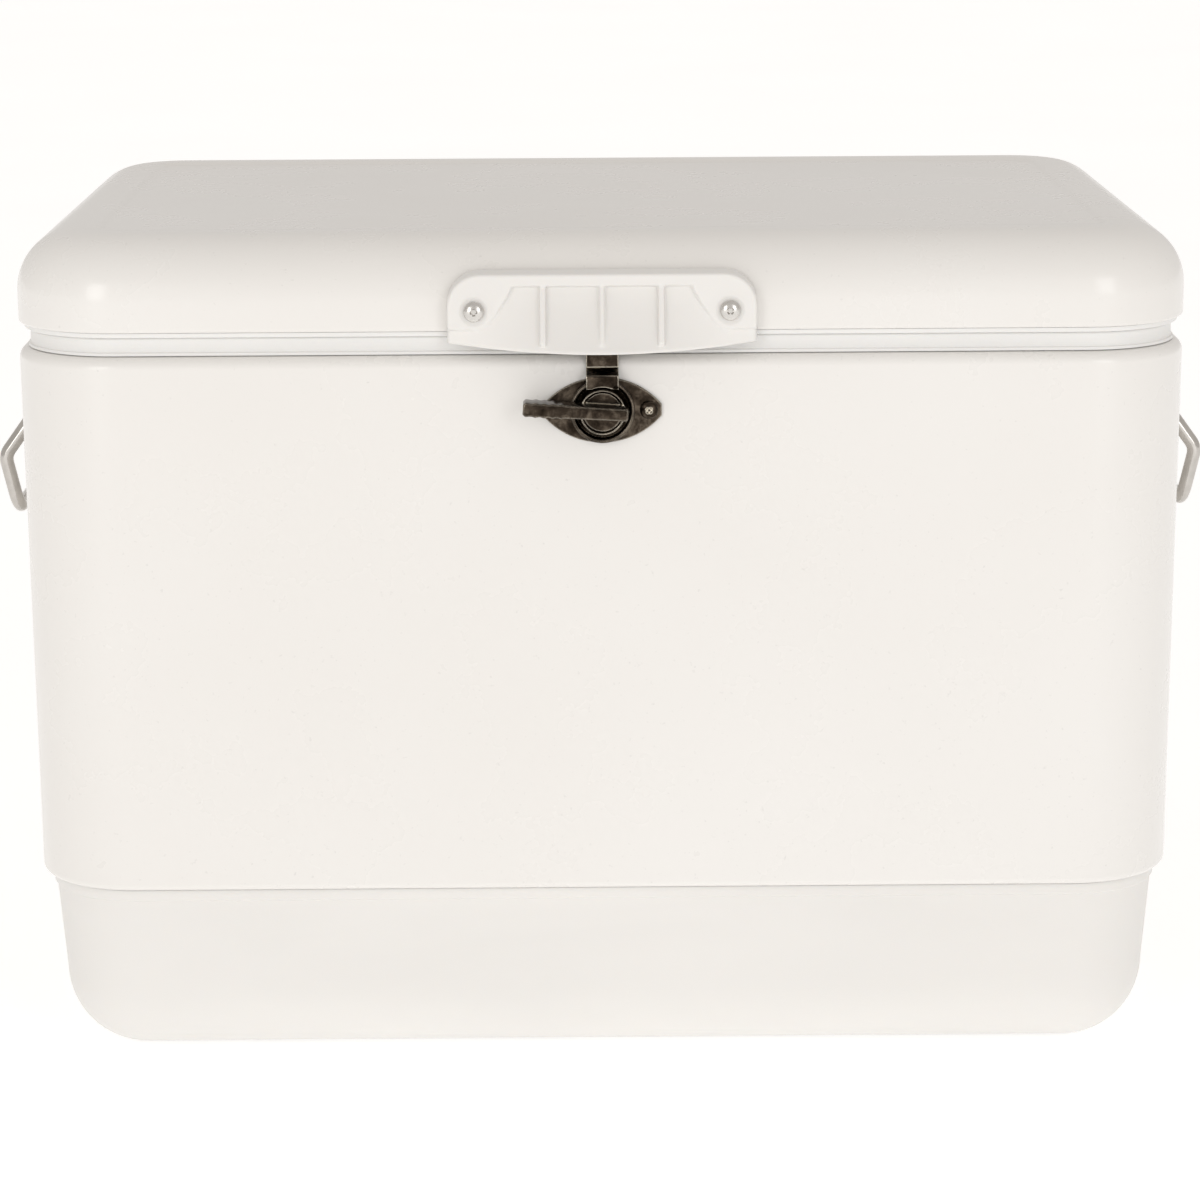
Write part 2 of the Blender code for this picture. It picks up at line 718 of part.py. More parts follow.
def make_catch_strap():
    """A cranked strip: flat on the lid, then stepped out over the latch housing."""
    back = -GAP
    profile = [
        (back, STRAP_TOP_Z),
        (back, STRAP_BEND_Z),
        (back - STRAP_STEP, STRAP_BEND_Z - 3.5 * MM),
        (back - STRAP_STEP, STRAP_END_Z),
    ]
    front = [(y - STRAP_SHEET, z + (0.7 * MM if i == 1 else 0)) for i, (y, z) in enumerate(profile)]
    front[2] = (front[2][0], front[2][1] + 0.7 * MM)
    outline = [(FRONT + y, z) for y, z in profile + front[::-1]]
    half = STRAP_WIDTH / 2
    strap = extruded(
        "catch_strap", outline, -half, half, "nickel", rotation=(math.pi / 2, 0, math.pi / 2)
    )
    hub_clearance = cylinder(
        "strap_notch",
        HUB_RADIUS + 1 * MM,
        -5 * MM,
        25 * MM,
        "nickel",
        (0, FRONT, LATCH_Z),
        FACE_TURN["front"],
        sides=32,
    )
    boolean(strap, as_cutter(hub_clearance))
    return strap


# ---------------------------------------------------------------- latch


def lens_outline(half_width, half_height, tip_radius=2 * MM):
    """Two equal arcs that meet at the left and right tips, which are rounded."""
    half_width += tip_radius * 0.4
    radius = (half_width**2 + half_height**2) / (2 * half_height)
    reach = math.asin((half_width - tip_radius) / radius)
    steps = 12
    points = []
    for side in (1, -1):
        for step in range(steps + 1):
            angle = reach * (1 - 2 * step / steps)
            x = side * radius * math.sin(angle)
            points.append((x, side * (radius * math.cos(angle) - radius + half_height)))
    return points


def make_latch_plate():
    return extruded(
        "latch_plate",
        lens_outline(LATCH_PLATE_WIDTH / 2, LATCH_PLATE_HEIGHT / 2),
        GAP,
        GAP + LATCH_PLATE_SHEET,
        "nickel",
        (0, FRONT, LATCH_Z),
        FACE_TURN["front"],
    )


def make_latch_housing():
    """A shallow cup on the plate that the hub turns in."""
    floor = GAP + LATCH_PLATE_SHEET + 0.3 * MM
    top = floor + HOUSING_DEPTH - 0.4 * MM
    profile = [
        (SPINDLE_BORE, floor),
        (SPINDLE_BORE, floor + 1 * MM),
        (HOUSING_BORE, floor + 1 * MM),
        (HOUSING_BORE + 0.6 * MM, top),
        (HOUSING_RADIUS - 1.2 * MM, top),
        (HOUSING_RADIUS, top - 1.2 * MM),
        (HOUSING_RADIUS, floor),
        (SPINDLE_BORE, floor),
    ]
    return turned(
        "latch_housing", profile, "nickel", (0, FRONT, LATCH_Z), FACE_TURN["front"], steps=32
    )


def make_latch_lever():
    """Hub, spindle and grip blade, cast in one piece."""
    low = GAP + LATCH_PLATE_SHEET + 0.3 * MM + 1.4 * MM
    high = low + HUB_DEPTH
    profile = [
        (0, high),
        (HUB_RADIUS - 1.2 * MM, high),
        (HUB_RADIUS, high - 1.2 * MM),
        (HUB_RADIUS, low),
        (SPINDLE_RADIUS, low),
        (SPINDLE_RADIUS, -3 * MM),
        (0, -3 * MM),
    ]
    place = (0, FRONT, LATCH_Z)
    hub = as_mesh(turned("latch_lever", profile, "nickel", place, FACE_TURN["front"], 28), "nickel")
    half = LEVER_THICKNESS / 2
    teeth = 4
    outline = [(LEVER_RIGHT, -half * 0.8), (LEVER_RIGHT, half * 0.8)]
    pitch = 4.2 * MM
    for i in range(teeth):
        start = -LEVER_LEFT + 22 * MM - i * pitch
        outline += [(start, half), (start - pitch / 2, half * 0.8)]
    outline += [(-LEVER_LEFT + 1 * MM, half), (-LEVER_LEFT, half * 0.8)]
    outline += [(x, -y) for x, y in outline[2:][::-1]]
    outline = [(x, y + LEVER_RISE) for x, y in outline]
    turn = Matrix.Rotation(LEVER_TILT, 4, "Y")
    blade = extruded(
        "lever_blade", outline, high - 1 * MM, high + LEVER_DEPTH, "nickel", place, FACE_TURN["front"]
    )
    pivot = Matrix.Translation(place)
    blade.matrix_world = pivot @ turn @ pivot.inverted() @ blade.matrix_world
    boolean(hub, as_cutter(blade), "UNION", use_self=True)
    return hub


def make_latch_retainer():
    return tube_ring(
        "latch_retainer",
        RETAINER_RADIUS,
        SPINDLE_RADIUS + 0.3 * MM,
        -1.8 * MM,
        0,
        "zinc",
        (0, FRONT, LATCH_Z),
        FACE_TURN["front"],
    )


# ---------------------------------------------------------------- side handles


def make_handle_bracket(side, sign):
    """A plate on the side wall with a rolled barrel that holds both ends of the bail."""
    low = GAP
    plate = extruded(
        f"{side}_handle_bracket",
        [
            (x * BRACKET_HALF_HEIGHT, y * BRACKET_HALF_LENGTH)
            for x, y in (
                (-1, -0.9), (-0.6, -1), (0.6, -1), (1, -0.9), (1, 0.9), (0.6, 1), (-0.6, 1), (-1, 0.9)
            )
        ],
        low,
        low + BRACKET_SHEET,
        "chrome",
        (sign * SIDE, 0, BAIL_PIVOT_Z),
        FACE_TURN[side],
    )
    axis_x = sign * (SIDE + BAIL_PIVOT_OUT)
    along_y = (math.pi / 2, 0, 0)
    barrel = cylinder(
        f"{side}_barrel",
        BARREL_RADIUS,
        -BARREL_HALF_LENGTH,
        BARREL_HALF_LENGTH,
        "chrome",
        (axis_x, 0, BAIL_PIVOT_Z),
        along_y,
    )
    bore = cylinder(
        f"{side}_barrel_bore",
        BARREL_BORE,
        -BARREL_HALF_LENGTH - 5 * MM,
        BARREL_HALF_LENGTH + 5 * MM,
        "chrome",
        (axis_x, 0, BAIL_PIVOT_Z),
        along_y,
    )
    boolean(plate, as_cutter(barrel), "UNION")
    boolean(plate, as_cutter(bore))
    return plate


def bail_path(sign):
    """The rod's centreline: in from each barrel end, round the knees and along the grip."""
    pivot_x = SIDE + BAIL_PIVOT_OUT
    half = BAIL_HALF_WIDTH
    knee = (pivot_x + BAIL_KNEE[0], BAIL_PIVOT_Z + BAIL_KNEE[1])
    grip = (pivot_x + BAIL_GRIP[0], BAIL_PIVOT_Z + BAIL_GRIP[1])
    front = [
        (pivot_x, -BAIL_END, BAIL_PIVOT_Z),
        (pivot_x, -half, BAIL_PIVOT_Z),
        (knee[0], -half, knee[1]),
        (grip[0], -half, grip[1]),
    ]
    rear = [(x, -y, z) for x, y, z in front[::-1]]
    return [(sign * x, y, z) for x, y, z in front + rear]


def make_bail(side, sign):
    curve = bpy.data.curves.new(f"{side}_bail", "CURVE")
    curve.dimensions = "3D"
    curve.bevel_depth = BAIL_ROD
    curve.bevel_resolution = 2
    curve.use_fill_caps = True
    path = fillet(bail_path(sign), BAIL_BEND)
    spline = curve.splines.new("POLY")
    spline.points.add(len(path) - 1)
    for point, place in zip(spline.points, path):
        point.co = (*place, 1)
    return add_part(f"{side}_bail", curve, "chrome")


# ---------------------------------------------------------------- hinges


def knuckle_spans(first):
    """(start, end) along the hinge of every second knuckle, from the first or the second."""
    pitch = HINGE_LENGTH / KNUCKLE_COUNT
    return [
        (-HINGE_LENGTH / 2 + i * pitch + 0.25 * MM, -HINGE_LENGTH / 2 + (i + 1) * pitch - 0.25 * MM)
        for i in range(first, KNUCKLE_COUNT, 2)
    ]


def make_hinge_leaf(name, centre_x, far_z, first):
    """A flat leaf with rolled knuckles, on the lid above the pin or on the body below it."""
    up = 1 if far_z > HINGE_Z else -1
    near_z = HINGE_Z + up * (KNUCKLE_RADIUS + 0.8 * MM)
    back = REAR + GAP
    half = HINGE_LENGTH / 2
    leaf = box(
        name,
        (centre_x - half, back, min(near_z, far_z)),
        (centre_x + half, back + HINGE_SHEET, max(near_z, far_z)),
        "nickel",
    )
    bore = cylinder(
        name + "_bore",
        KNUCKLE_BORE,
        -HINGE_LENGTH,
        HINGE_LENGTH,
        "nickel",
        (centre_x, HINGE_Y, HINGE_Z),
        FACE_TURN["right"],
    )
    for i, (start, end) in enumerate(knuckle_spans(first)):
        tab = box(
            f"{name}_tab_{i + 1}",
            (centre_x + start, back, min(HINGE_Z, near_z + up * 1 * MM)),
            (centre_x + end, back + HINGE_SHEET, max(HINGE_Z, near_z + up * 1 * MM)),
        )
        knuckle = cylinder(
            f"{name}_knuckle_{i + 1}",
            KNUCKLE_RADIUS,
            start + 0.01 * MM,
            end - 0.01 * MM,
            "nickel",
            (centre_x, HINGE_Y, HINGE_Z),
            FACE_TURN["right"],
        )
        boolean(leaf, as_cutter(tab), "UNION")
        boolean(leaf, as_cutter(knuckle), "UNION")
    boolean(leaf, as_cutter(bore))
    return leaf


# ---------------------------------------------------------------- drain


def make_drain():
    """Spout, gasket, nut and cap on one line through the right side wall."""
    line = (0, 0, DRAIN_Z)
    draft = (BASE_LOW_INSET - BASE_HIGH_INSET) / (BASE_RIM_Z - BASE_SIDE_Z)
    wall_x = SIDE - BASE_LOW_INSET + (DRAIN_Z + NUT_RADIUS - BASE_SIDE_Z) * draft + GAP
    nut_x = wall_x + GASKET_THICKNESS + 0.3 * MM
    turn = FACE_TURN["right"]
    tube_ring(
        "drain_spout", DRAIN_OUTER, DRAIN_INNER, DRAIN_INSIDE_X, DRAIN_OUTSIDE_X, "white_plastic", line, turn
    )
    tube_ring(
        "drain_gasket",
        NUT_RADIUS - 1 * MM,
        DRAIN_OUTER + 0.3 * MM,
        wall_x + 0.3 * MM,
        wall_x + GASKET_THICKNESS,
        "rubber",
        line,
        turn,
    )
    tube_ring(
        "drain_nut",
        NUT_RADIUS,
        DRAIN_OUTER + 0.3 * MM,
        nut_x,
        nut_x + NUT_THICKNESS,
        "white_plastic",
        line,
        turn,
        steps=12,
    )
    cap_low = nut_x + NUT_THICKNESS + 0.4 * MM
    cap_top = DRAIN_OUTSIDE_X + 3.5 * MM
    plug_end = DRAIN_OUTSIDE_X - 7 * MM
    profile = [
        (0, cap_top),
        (CAP_RADIUS - 1 * MM, cap_top),
        (CAP_RADIUS, cap_top - 1 * MM),
        (CAP_RADIUS, cap_low),
        (DRAIN_OUTER + 0.4 * MM, cap_low),
        (DRAIN_OUTER + 0.4 * MM, DRAIN_OUTSIDE_X + 0.5 * MM),
        (DRAIN_INNER - 0.4 * MM, DRAIN_OUTSIDE_X + 0.5 * MM),
        (DRAIN_INNER - 0.4 * MM, plug_end),
        (0, plug_end),
    ]
    turned("drain_cap", profile, "white_plastic", line, turn)


# ---------------------------------------------------------------- fasteners


def screw_places():
    """Name, place on the face it bears on, and face, of every screw; grouped by what it holds."""
    groups = {"lid_handle": [], "latch": [], "lid_leaf": [], "body_leaf": [], "left": [], "right": []}
    for side, sign in (("left", -1), ("right", 1)):
        groups["lid_handle"].append(
            (
                f"lid_handle_screw_{side}",
                (sign * HANDLE_SCREW_X, FRONT - HANDLE_FRAME_DEPTH - 0.3 * MM, HANDLE_SCREW_Z),
                "front",
            )
        )
        plate_front = FRONT - GAP - LATCH_PLATE_SHEET - 0.3 * MM
        groups["latch"].append(
            (f"latch_screw_{side}", (sign * LATCH_SCREW_X, plate_front, LATCH_Z), "front")
        )
        leaf_back = REAR + GAP + HINGE_SHEET + 0.3 * MM
        for i in (-1, 0, 1):
            x = sign * HINGE_X + i * HINGE_SCREW_PITCH
            groups["lid_leaf"].append(
                (f"{side}_hinge_lid_screw_{i + 2}", (x, leaf_back, LID_LEAF_SCREW_Z), "rear")
            )
            groups["body_leaf"].append(
                (f"{side}_hinge_body_screw_{i + 2}", (x, leaf_back, BODY_LEAF_SCREW_Z), "rear")
            )
        plate_out = SIDE + GAP + BRACKET_SHEET + 0.3 * MM
        corners = [(y, z) for y in (-1, 1) for z in (-1, 1)]
        for i, (sy, sz) in enumerate(corners):
            place = (sign * plate_out, sy * BRACKET_SCREW[0], BAIL_PIVOT_Z + sz * BRACKET_SCREW[1])
            groups[side].append((f"{side}_bracket_screw_{i + 1}", place, side))
    return groups


# ---------------------------------------------------------------- assembly


def assemble():
    base = make_base_tub()
    belt = make_steel_belt()
    liner = make_inner_liner()
    foam = make_body_foam()
    lid_shell = make_lid_shell()
    make_lid_liner()
    lid_foam = make_lid_foam()
    handle = make_lid_handle()
    strap = make_catch_strap()
    plate = make_latch_plate()
    make_latch_housing()
    make_latch_lever()
    make_latch_retainer()
    brackets = {side: make_handle_bracket(side, sign) for side, sign in (("left", -1), ("right", 1))}
    for side, sign in (("left", -1), ("right", 1)):
        make_bail(side, sign)
    make_drain()

    groups = screw_places()
    for group in groups.values():
        for name, place, face in group:
            material = "nickel" if "latch" in name else "zinc"
            head = (5.3, 2.8) if "handle" in name else (4.7, 2.4)
            fastener(name, place, face, material, head)

    front_of_lid = bores(
        "lid_handle_bores", [p for _, p, _ in groups["lid_handle"]], SHANK_BORE, 25 * MM, "front"
    )
    rear_of_lid = bores(
        "lid_leaf_bores", [p for _, p, _ in groups["lid_leaf"]], SHANK_BORE, 20 * MM, "rear"
    )
    boolean(handle, front_of_lid)
    for target in (lid_shell, lid_foam):
        boolean(target, front_of_lid)
        boolean(target, rear_of_lid)

    latch_bores = bores(
        "latch_bores", [p for _, p, _ in groups["latch"]], SHANK_BORE, 20 * MM, "front"
    )
    rear_of_body = bores(
        "body_leaf_bores", [p for _, p, _ in groups["body_leaf"]], SHANK_BORE, 20 * MM, "rear"
    )
    spindle_hole = bores(
        "spindle_hole", [(0, FRONT, LATCH_Z)], SPINDLE_BORE, 10 * MM, "front"
    )
    retainer_pocket = bores(
        "retainer_pocket", [(0, FRONT, LATCH_Z)], RETAINER_RADIUS + 1 * MM, 5 * MM, "front"
    )
    boolean(plate, latch_bores)
    boolean(plate, spindle_hole)
    for target in (belt, foam):
        boolean(target, latch_bores)
        boolean(target, rear_of_body)
        boolean(target, retainer_pocket)
    for side, bracket in brackets.items():
        side_bores = bores(
            f"{side}_bracket_bores", [p for _, p, _ in groups[side]], SHANK_BORE, 20 * MM, side
        )
        for target in (bracket, belt, foam):
            boolean(target, side_bores)

    drain_hole = bores(
        "drain_hole", [(SIDE - 35 * MM, 0, DRAIN_Z)], DRAIN_OUTER + 0.8 * MM, 50 * MM, "right"
    )
    for target in (base, liner, foam):
        boolean(target, drain_hole)

    rivets = [(x * MM, FRONT - GAP - STRAP_SHEET - 0.3 * MM, 404 * MM) for x in (-4.5, 4.5)]
    rivet_bores = bores("rivet_bores", rivets, 1.6 * MM, 12 * MM, "front")
    for target in (strap, lid_shell, lid_foam):
        boolean(target, rivet_bores)
    for side, place in zip(("left", "right"), rivets):
        fastener(f"catch_rivet_{side}", place, "front", head=(2.6, 1.2), shank=(1.2, 6), steps=8)

    for side, sign in (("left", -1), ("right", 1)):
        centre = sign * HINGE_X
        lid_leaf = make_hinge_leaf(f"{side}_hinge_lid_leaf", centre, LID_LEAF_TOP_Z, 1)
        body_leaf = make_hinge_leaf(f"{side}_hinge_body_leaf", centre, BODY_LEAF_BOTTOM_Z, 0)
        boolean(lid_leaf, rear_of_lid)
        boolean(body_leaf, rear_of_body)
        cylinder(
            f"{side}_hinge_pin",
            PIN_RADIUS,
            -HINGE_LENGTH / 2 - 1 * MM,
            HINGE_LENGTH / 2 + 1 * MM,
            "zinc",
            (centre, HINGE_Y, HINGE_Z),
            FACE_TURN["right"],
            sides=12,
        )


    pivots = {"lid_pivot": (0, HINGE_Y, HINGE_Z), "latch_pivot": (0, FRONT, LATCH_Z)}
    for side, sign in (("left", -1), ("right", 1)):
        pivots[f"{side}_bail_pivot"] = (sign * (SIDE + BAIL_PIVOT_OUT), 0, BAIL_PIVOT_Z)
    on_lid = ("lid_", "catch_", "left_hinge_lid", "right_hinge_lid")
    moving = {
        "lid_pivot": on_lid,
        "latch_pivot": ("latch_lever", "latch_retainer"),
        "left_bail_pivot": ("left_bail",),
        "right_bail_pivot": ("right_bail",),
    }
    for pivot, prefixes in moving.items():
        pieces = [o for o in PARTS.objects if o.type != "EMPTY" and o.name.startswith(prefixes)]
        on_pivot(pivot, pivots[pivot], pieces)


assemble()
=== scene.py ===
"""Looks of the steel-belted cooler chest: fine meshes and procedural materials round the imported
frame, on a pale floor in soft studio light. Metres, +Z up, front face towards -Y."""

import json
import math

import bmesh
import bpy
from mathutils import Matrix, Vector


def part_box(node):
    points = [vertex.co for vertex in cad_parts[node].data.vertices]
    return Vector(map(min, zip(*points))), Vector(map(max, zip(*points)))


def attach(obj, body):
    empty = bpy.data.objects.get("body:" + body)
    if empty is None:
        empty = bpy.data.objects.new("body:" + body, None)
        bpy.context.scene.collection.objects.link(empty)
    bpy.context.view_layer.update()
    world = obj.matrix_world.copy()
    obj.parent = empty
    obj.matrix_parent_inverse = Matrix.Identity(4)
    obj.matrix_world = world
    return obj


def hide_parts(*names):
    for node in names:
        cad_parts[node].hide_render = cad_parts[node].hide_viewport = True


MM = 0.001

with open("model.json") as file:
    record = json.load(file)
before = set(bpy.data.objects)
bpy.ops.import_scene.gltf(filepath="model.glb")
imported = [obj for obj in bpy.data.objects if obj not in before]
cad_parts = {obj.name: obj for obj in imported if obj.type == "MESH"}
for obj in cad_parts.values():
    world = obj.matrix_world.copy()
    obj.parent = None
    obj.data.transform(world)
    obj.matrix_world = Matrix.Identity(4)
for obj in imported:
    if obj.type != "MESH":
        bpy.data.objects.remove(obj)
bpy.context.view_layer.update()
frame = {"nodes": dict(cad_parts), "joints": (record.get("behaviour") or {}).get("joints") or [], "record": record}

CORNER_STEPS = 24
LEAST_RADIUS = 2 * MM

FACE_TURN = {
    "front": (math.pi / 2, 0, 0),
    "rear": (-math.pi / 2, 0, 0),
    "right": (0, math.pi / 2, 0),
    "left": (0, -math.pi / 2, 0),
}

# Everything is placed from the frame's own boxes.
BELT_LOW, BELT_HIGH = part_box("steel_belt")
BASE_LOW, BASE_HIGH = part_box("base_tub")
LINER_LOW, LINER_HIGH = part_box("inner_liner")
SHELL_LOW, SHELL_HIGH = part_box("lid_shell")
LID_LINER_LOW, LID_LINER_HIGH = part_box("lid_liner")
HANDLE_LOW, HANDLE_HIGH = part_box("lid_handle")
SIDE = BELT_HIGH[0]
REAR = BELT_HIGH[1]
FRONT = -REAR
CORNER_RADIUS = 55 * MM


# ---------------------------------------------------------------- materials


class Shader:
    """A small helper that builds one Principled material from noise textures in metres."""

    def __init__(self, name, colour, roughness, metallic=0.0):
        self.material = bpy.data.materials.new(name)
        self.material.use_nodes = True
        self.tree = self.material.node_tree
        self.principled = self.tree.nodes["Principled BSDF"]
        self.principled.inputs["Base Color"].default_value = (*colour, 1)
        self.principled.inputs["Roughness"].default_value = roughness
        self.principled.inputs["Metallic"].default_value = metallic
        self.coordinates = self.tree.nodes.new("ShaderNodeTexCoord").outputs["Object"]

    def node(self, kind, **settings):
        made = self.tree.nodes.new(kind)
        for key, value in settings.items():
            setattr(made, key, value)
        return made

    def link(self, output, target):
        self.tree.links.new(output, target)

    def noise(self, scale, detail=3.0, roughness=0.5, distortion=0.0, stretch=None):
        texture = self.node("ShaderNodeTexNoise")
        texture.inputs["Scale"].default_value = scale
        texture.inputs["Detail"].default_value = detail
        texture.inputs["Roughness"].default_value = roughness
        texture.inputs["Distortion"].default_value = distortion
        source = self.coordinates
        if stretch:
            mapping = self.node("ShaderNodeMapping")
            mapping.inputs["Scale"].default_value = stretch
            self.link(source, mapping.inputs["Vector"])
            source = mapping.outputs["Vector"]
        self.link(source, texture.inputs["Vector"])
        return texture.outputs["Fac"]

    def ramp(self, fac, stops):
        """Colour by noise value; stops are (position, colour) or (position, grey)."""
        ramp = self.node("ShaderNodeValToRGB")
        elements = ramp.color_ramp.elements
        while len(elements) < len(stops):
            elements.new(0.5)
        for element, (position, colour) in zip(elements, stops):
            if not isinstance(colour, tuple):
                colour = (colour, colour, colour)
            element.position = position
            element.color = (*colour, 1)
        self.link(fac, ramp.inputs["Fac"])
        return ramp.outputs["Color"]

    def colour(self, output):
        self.link(output, self.principled.inputs["Base Color"])

    def mix(self, fac, first, second, blend="MIX"):
        mix = self.node("ShaderNodeMix", data_type="RGBA", blend_type=blend)
        if isinstance(fac, float):
            mix.inputs["Factor"].default_value = fac
        else:
            self.link(fac, mix.inputs["Factor"])
        for value, socket in ((first, mix.inputs["A"]), (second, mix.inputs["B"])):
            if isinstance(value, tuple):
                socket.default_value = (*value, 1)
            else:
                self.link(value, socket)
        return mix.outputs["Result"]

    def roughness(self, fac, low, high):
        span = self.node("ShaderNodeMapRange")
        span.inputs["To Min"].default_value = low
        span.inputs["To Max"].default_value = high
        self.link(fac, span.inputs["Value"])
        self.link(span.outputs["Result"], self.principled.inputs["Roughness"])

    def bumps(self, *layers):
        """Stacks (noise value, strength, height in metres) from the coarsest to the finest."""
        normal = None
        for fac, strength, distance in layers:
            bump = self.node("ShaderNodeBump")
            bump.inputs["Strength"].default_value = strength
            bump.inputs["Distance"].default_value = distance
            self.link(fac, bump.inputs["Height"])
            if normal:
                self.link(normal, bump.inputs["Normal"])
            normal = bump.outputs["Normal"]
        self.link(normal, self.principled.inputs["Normal"])

    def set(self, **values):
        for key, value in values.items():
            self.principled.inputs[key.replace("_", " ")].default_value = value


def enamel():
    """Baked white enamel on sheet steel: warm white, orange peel, faint handling marks."""
    s = Shader("white_enamel", (0.80, 0.785, 0.76), 0.27)
    cloud = s.noise(3.0, 4.0)
    speck = s.noise(420.0, 2.0)
    tone = s.ramp(cloud, [(0.3, (0.795, 0.775, 0.745)), (0.7, (0.825, 0.81, 0.785))])
    dust = s.ramp(speck, [(0.68, 1.0), (0.80, 0.90)])
    s.colour(s.mix(1.0, tone, dust, "MULTIPLY"))
    s.roughness(s.noise(14.0, 5.0, 0.6), 0.22, 0.34)
    s.bumps((s.noise(18.0, 1.0), 0.15, 0.0004), (s.noise(260.0, 2.0), 0.12, 0.00006))
    s.set(Coat_Weight=0.35, Coat_Roughness=0.12, IOR=1.5)
    return s.material


def moulded_white(name, colour, grain=900.0, strength=0.25):
    """Moulded polyethylene: satin, with a fine moulded grain and slight flow marks."""
    s = Shader(name, colour, 0.45)
    low = tuple(c * 0.965 for c in colour)
    flow = s.noise(6.0, 3.0, 0.5, 0.6, stretch=(1, 1, 3))
    s.colour(s.ramp(flow, [(0.3, low), (0.72, colour)]))
    s.roughness(s.noise(40.0, 4.0), 0.38, 0.52)
    s.bumps((s.noise(30.0, 2.0), 0.12, 0.0003), (s.noise(grain, 2.0), strength, 0.00005))
    s.set(Subsurface_Weight=0.06, Subsurface_Radius=(0.004, 0.003, 0.002), IOR=1.5)
    s.set(Subsurface_Scale=0.5)
    return s.material


def dark_nickel():
    """Nickel plate on a casting: base colour painted nearly black brown as a painted dark reflection, with a
    painted pale highlight along its rounded edges.
    """
    # Painted dark reflection: the near-black brown colours below stand in for the dark surroundings the plated
    # metal reflects, mottled by noise patches.
    s = Shader("dark_nickel", (0.12, 0.10, 0.08), 0.22, 1.0)
    patches = s.noise(110.0, 7.0, 0.68, 0.5)
    specks = s.noise(800.0, 3.0, 0.6)
    tone = s.ramp(
        patches,
        [(0.38, (0.018, 0.013, 0.009)), (0.50, (0.045, 0.034, 0.025)), (0.66, (0.13, 0.105, 0.08))],
    )
    pits = s.ramp(specks, [(0.30, 0.5), (0.50, 1.0)])
    plate = s.mix(0.8, tone, pits, "MULTIPLY")
    # Painted highlight: pale cream is painted along rounded edges, where the bevelled normal turns away from the
    # true normal, in place of the bright edge highlights.
    rounded = s.node("ShaderNodeBevel", samples=6)
    rounded.inputs["Radius"].default_value = 1.1 * MM
    true_normal = s.node("ShaderNodeNewGeometry").outputs["Normal"]
    likeness = s.node("ShaderNodeVectorMath", operation="DOT_PRODUCT")
    s.link(rounded.outputs["Normal"], likeness.inputs[0])
    s.link(true_normal, likeness.inputs[1])
    painted_edge_highlight = s.ramp(likeness.outputs["Value"], [(0.90, 1.0), (0.995, 0.0)])
    s.colour(s.mix(painted_edge_highlight, plate, (0.86, 0.79, 0.66)))
    s.roughness(patches, 0.12, 0.34)
    s.bumps((s.noise(160.0, 3.0), 0.35, 0.00015), (specks, 0.15, 0.00003))
    return s.material


def bright_plate(name, colour, low, high, stretch=None):
    """Chrome or zinc plate with fine wear."""
    s = Shader(name, colour, low, 1.0)
    dull = tuple(c * 0.80 for c in colour)
    wear = s.noise(70.0, 6.0, 0.6)
    s.colour(s.ramp(wear, [(0.35, dull), (0.65, colour)]))
    s.roughness(s.noise(350.0, 4.0, 0.6, stretch=stretch), low, high)
    s.bumps((s.noise(500.0, 3.0, stretch=stretch), 0.08, 0.00003),)
    return s.material


def foam():
    s = Shader("foam", (0.74, 0.62, 0.36), 0.9)
    cells = s.noise(600.0, 4.0, 0.7)
    s.colour(s.ramp(cells, [(0.3, (0.60, 0.47, 0.24)), (0.7, (0.80, 0.69, 0.42))]))
    s.bumps((cells, 0.6, 0.0003),)
    return s.material


def rubber():
    s = Shader("rubber", (0.03, 0.03, 0.03), 0.75)
    grain = s.noise(800.0, 3.0)
    s.colour(s.ramp(grain, [(0.3, (0.022, 0.022, 0.022)), (0.7, (0.045, 0.044, 0.042))]))
    s.roughness(grain, 0.65, 0.85)
    s.bumps((grain, 0.3, 0.00005),)
    return s.material


MATERIALS = {
    "white_enamel": enamel(),
    "white_plastic": moulded_white("white_plastic", (0.80, 0.785, 0.76)),
    "liner_plastic": moulded_white("liner_plastic", (0.82, 0.815, 0.80), 500.0, 0.12),
    "foam": foam(),
    "dark_nickel": dark_nickel(),
    "zinc_steel": bright_plate("zinc_steel", (0.72, 0.70, 0.67), 0.16, 0.34),
    "chrome": bright_plate("chrome", (0.60, 0.575, 0.54), 0.07, 0.20),
    "rubber": rubber(),
}
SLOT_OF = {s["node"]: s["material_slot"] for s in frame["record"]["subparts"]}
BODY_OF = {
    node: body for body, nodes in frame["record"]["behaviour"]["bodies"].items() for node in nodes
}


# ---------------------------------------------------------------- mesh helpers


def add_object(name, data, location=(0, 0, 0), rotation=(0, 0, 0)):
    obj = bpy.data.objects.new(name, data)
    obj.location = location
    obj.rotation_euler = rotation
    bpy.context.scene.collection.objects.link(obj)
    return obj


def from_bmesh(name, mesh):
    data = bpy.data.meshes.new(name)
    mesh.to_mesh(data)
    mesh.free()
    return add_object(name, data)


def stand_in(obj, *nodes):
    """obj takes the place, body, slot and material of these CAD nodes."""
    slot = SLOT_OF[nodes[0]]
    if not obj.data.materials:
        obj.data.materials.append(MATERIALS[slot])
    bpy.context.view_layer.update()
    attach(obj, BODY_OF[nodes[0]])
    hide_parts(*nodes)
    return obj


def smooth(obj, degrees=30):
    obj.data.shade_smooth()
    obj.data.set_sharp_from_angle(angle=math.radians(degrees))
    return obj


def bevel(obj, width, segments=3, degrees=40):
    modifier = obj.modifiers.new("bevel", "BEVEL")
    modifier.width = width
    modifier.segments = segments
    modifier.limit_method = "ANGLE"
    modifier.angle_limit = math.radians(degrees)
    modifier.harden_normals = True
    return modifier


def apply_modifiers(obj):
    """Makes the evaluated mesh the object's own, so that the piece holds no live modifier."""
    bpy.context.view_layer.update()
    graph = bpy.context.evaluated_depsgraph_get()
    data = bpy.data.meshes.new_from_object(obj.evaluated_get(graph))
    old = obj.data
    obj.modifiers.clear()
    obj.data = data
    bpy.data.meshes.remove(old)
    return obj


